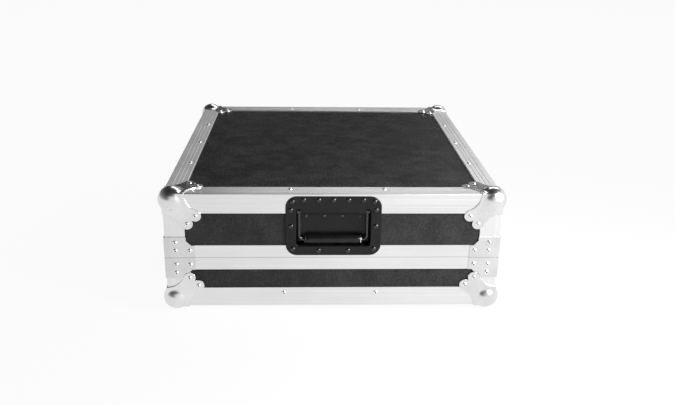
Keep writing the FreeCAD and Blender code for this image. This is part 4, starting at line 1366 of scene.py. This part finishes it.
@dataclass
class Panels(SubAssembly):
    """Laminated plywood panels of both halves, as the CAD has them.

    Attributes:
        names: the sides that each half has a panel on.
    """

    names: tuple[str, ...] = ("front", "right", "back", "left")

    def dress(self, nodes: CadNodes) -> None:
        """Give every panel its laminate."""
        sides = [f"{half.value}_panel_{side}" for half in Half for side in self.names]
        WARDROBE.dress_all(nodes, sides + ["lid_panel_top", "base_panel_floor"], LAMINATE)


@dataclass
class Latches(SubAssembly):
    """Turn latches of the two sides, as the CAD has them.

    Attributes:
        sides: the sides that have a latch.
        pressings, pins: parts of a latch that are pressed from zinc plated sheet, and its pins.
        wings: the ends that a wing folds out at.
    """

    sides: tuple[str, ...] = ("left", "right")
    pressings: tuple[str, ...] = ("dish", "keeper", "rotor", "slider", "hook")
    pins: tuple[str, ...] = ("wing_pin", "hook_pin")
    wings: tuple[str, ...] = ("front", "back")

    def dress(self, nodes: CadNodes) -> None:
        """Give the pressings their zinc, the pins their steel and the wings their plating.

        Args:
            nodes: CAD nodes by name.
        """
        for side in self.sides:
            WARDROBE.dress_all(nodes, [f"latch_{part}_{side}" for part in self.pressings], ZINC)
            WARDROBE.dress_all(nodes, [f"latch_{part}_{side}" for part in self.pins], RIVET)
            WARDROBE.dress_all(nodes, [f"latch_wing_{side}_{end}" for end in self.wings], PLATED)


@dataclass(frozen=True)
class Wall:
    """Part of the room that lies to one side.

    Attributes:
        greys: heights from 0 at the horizon to 1 overhead, each with its grey.
        side: direction that it lies in.
        edge: reaches along that direction between which it fades in.
    """

    greys: tuple[Pair, ...]
    side: Triple
    edge: Pair


@dataclass(frozen=True)
class Softbox:
    """Soft lamp of a width and height that looks at a target, in metres and watts."""

    name: str
    place: Triple
    target: Triple
    size: Pair
    power: float

    def build(self) -> None:
        """Hang the lamp."""
        data = bpy.data.lights.new(self.name, "AREA")
        data.shape = "RECTANGLE"
        data.size, data.size_y = self.size
        data.energy = self.power
        lamp = bpy.data.objects.new(self.name, data)
        place = Vector(self.place)
        aim = Vector(self.target) - place
        lamp.matrix_world = Matrix.Translation(place) @ aim.to_track_quat("-Z", "Y").to_matrix().to_4x4()
        bpy.context.scene.collection.objects.link(lamp)


@dataclass
class Studio:
    """Pale floor, soft light and the camera of the photograph's view.

    Attributes:
        eye: the camera's place in millimetres.
        pitch, yaw, roll: the camera's turns in degrees.
        lens, sensor: focal length and sensor's width in millimetres.
        far: how far the camera sees, in metres.
        floor_half: half the floor's side in metres.
        floor_grey, floor_glow: the paper's grey, and the share of glow that camera and metal see on it.
        room: heights from 0 at the horizon to 1 overhead, each with the grey of the room.
        walls: a pale wall on the right and a dim one on the left.
        lamps: the near one on the right, and the large one behind and above.
    """

    eye: Triple = (-41.35, -1350.7, 574.95)
    pitch: float = 20.18
    yaw: float = 2.49
    roll: float = 0.904
    lens: float = 41.75
    sensor: float = 36.0
    far: float = 60.0
    floor_half: float = 9.0
    floor_grey: float = 0.86
    floor_glow: float = 0.94
    room: tuple[Pair, ...] = ((0.0, 0.97), (0.05, 0.7), (0.14, 0.10), (0.3, 0.04), (1.0, 0.03))
    walls: tuple[Wall, ...] = (
        Wall(((0.0, 0.97), (0.5, 0.9), (0.68, 0.2), (0.82, 0.05), (1.0, 0.05)),
             (1.0, -0.4, 0.0), (-0.3, 0.5)),
        Wall(((0.0, 0.97), (0.12, 0.5), (0.35, 0.22), (0.7, 0.1), (1.0, 0.03)),
             (-1.0, -0.1, 0.0), (0.3, 0.9)),
    )
    lamps: tuple[Softbox, ...] = (
        Softbox("key_softbox", (0.55, -0.55, 0.45), (0.1, -0.27, 0.12), (0.4, 0.4), 8.8),
        Softbox("back_softbox", (0.9, 2.75, 3.05), (0.0, 0.0, 0.19), (3.0, 1.0), 36.0),
    )

    def camera(self) -> None:
        """Camera that looks along yaw and pitch, turned about its own axis by the roll."""
        pitch, yaw, roll = (math.radians(a) for a in (self.pitch, self.yaw, self.roll))
        ahead = Vector((math.sin(yaw) * math.cos(pitch), math.cos(yaw) * math.cos(pitch), -math.sin(pitch)))
        right = Vector((math.cos(yaw), -math.sin(yaw), 0.0))
        up = right.cross(ahead)
        across = right * math.cos(roll) + up * math.sin(roll)
        upward = up * math.cos(roll) - right * math.sin(roll)
        data = bpy.data.cameras.new("camera")
        data.sensor_fit = "HORIZONTAL"
        data.sensor_width = self.sensor
        data.lens = self.lens
        data.clip_end = self.far
        camera = bpy.data.objects.new("camera", data)
        turn = Matrix((across, upward, -ahead)).transposed().to_4x4()
        camera.matrix_world = Matrix.Translation(Vector(self.eye) * MM) @ turn
        bpy.context.scene.collection.objects.link(camera)
        bpy.context.scene.camera = camera

    def paper(self) -> bpy.types.Material:
        """Paper of the floor, which camera, metal and glass see as white by its share of glow.

        Returns:
            The material.
        """
        material = bpy.data.materials.new("white_floor")
        material.use_nodes = True
        wiring = Wiring(material.node_tree)
        wiring.tree.nodes.clear()
        path = wiring.add("ShaderNodeLightPath").outputs
        seen = wiring.reckon("MAXIMUM", path["Is Camera Ray"], path["Is Glossy Ray"])
        seen = wiring.reckon("MAXIMUM", seen, path["Is Transmission Ray"])
        share = wiring.reckon("MULTIPLY", seen, self.floor_glow)
        matt = wiring.chain(wiring.add("ShaderNodeBsdfDiffuse"), (*even(self.floor_grey), 1.0))
        glow = wiring.add("ShaderNodeEmission").outputs[0]
        mixed = wiring.chain(wiring.add("ShaderNodeMixShader"), share, matt, glow)
        wiring.feed(wiring.add("ShaderNodeOutputMaterial"), Surface=mixed)
        return material

    def floor(self) -> None:
        """White floor that keeps a soft shadow."""
        mesh = bpy.data.meshes.new("floor")
        half = self.floor_half
        corners = [(-half, -half, 0), (half, -half, 0), (half, half, 0), (-half, half, 0)]
        mesh.from_pydata(corners, [], [(0, 1, 2, 3)])
        mesh.materials.append(self.paper())
        floor = bpy.data.objects.new("floor", mesh)
        bpy.context.scene.collection.objects.link(floor)

    def sky(self) -> None:
        """Room round the case: white at the horizon, dark overhead, with its walls mixed in.

        Each grey follows the height of a direction, and its reach along a wall's side mixes that wall in.
        """
        world = bpy.data.worlds.new("studio")
        bpy.context.scene.world = world
        world.use_nodes = True
        wiring = Wiring(world.node_tree)
        wiring.tree.nodes.clear()
        where = wiring.add("ShaderNodeTexCoord").outputs["Generated"]
        height = wiring.feed(wiring.add("ShaderNodeSeparateXYZ"), Vector=where).outputs["Z"]
        seen = wiring.ramp(height, [(place, even(level)) for place, level in self.room])
        for wall in self.walls:
            toward = wiring.add("ShaderNodeVectorMath", operation="DOT_PRODUCT")
            wiring.chain(toward, where, wall.side)
            share = wiring.add("ShaderNodeMapRange")
            low, high = wall.edge
            wiring.feed(share, Value=toward.outputs["Value"], From_Min=low, From_Max=high)
            other = wiring.ramp(height, [(place, even(level)) for place, level in wall.greys])
            mix = wiring.add("ShaderNodeMix", data_type="RGBA")
            seen = wiring.feed(mix, Factor=share.outputs[0], A=seen, B=other).outputs["Result"]
        light = wiring.chain(wiring.add("ShaderNodeBackground"), seen)
        wiring.feed(wiring.add("ShaderNodeOutputWorld"), Surface=light)

    def build(self) -> None:
        """Set up the whole studio."""
        bpy.context.scene.view_settings.view_transform = "Standard"
        self.camera()
        self.floor()
        self.sky()
        for lamp in self.lamps:
            lamp.build()


def main() -> None:
    """Load the frame, build each sub-assembly in turn, and report its pieces."""
    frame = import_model()
    Studio().build()
    groups: list[SubAssembly] = [Panels()]
    for half in Half:
        corners = BallCorners(half)
        groups += [Edging(half), corners, CaseRivets(half, corners)]
    groups += [Handle(), Latches(), Lining(), Feet()]
    for group in groups:
        group.dress(frame["nodes"])
        for piece in group.build():
            LOG.info("%s: %d faces in %s", piece.name, len(piece.data.polygons), piece.active_material.name)


if __name__ == "__main__":
    logging.basicConfig(level=logging.INFO, format="%(name)s: %(message)s")
    main()
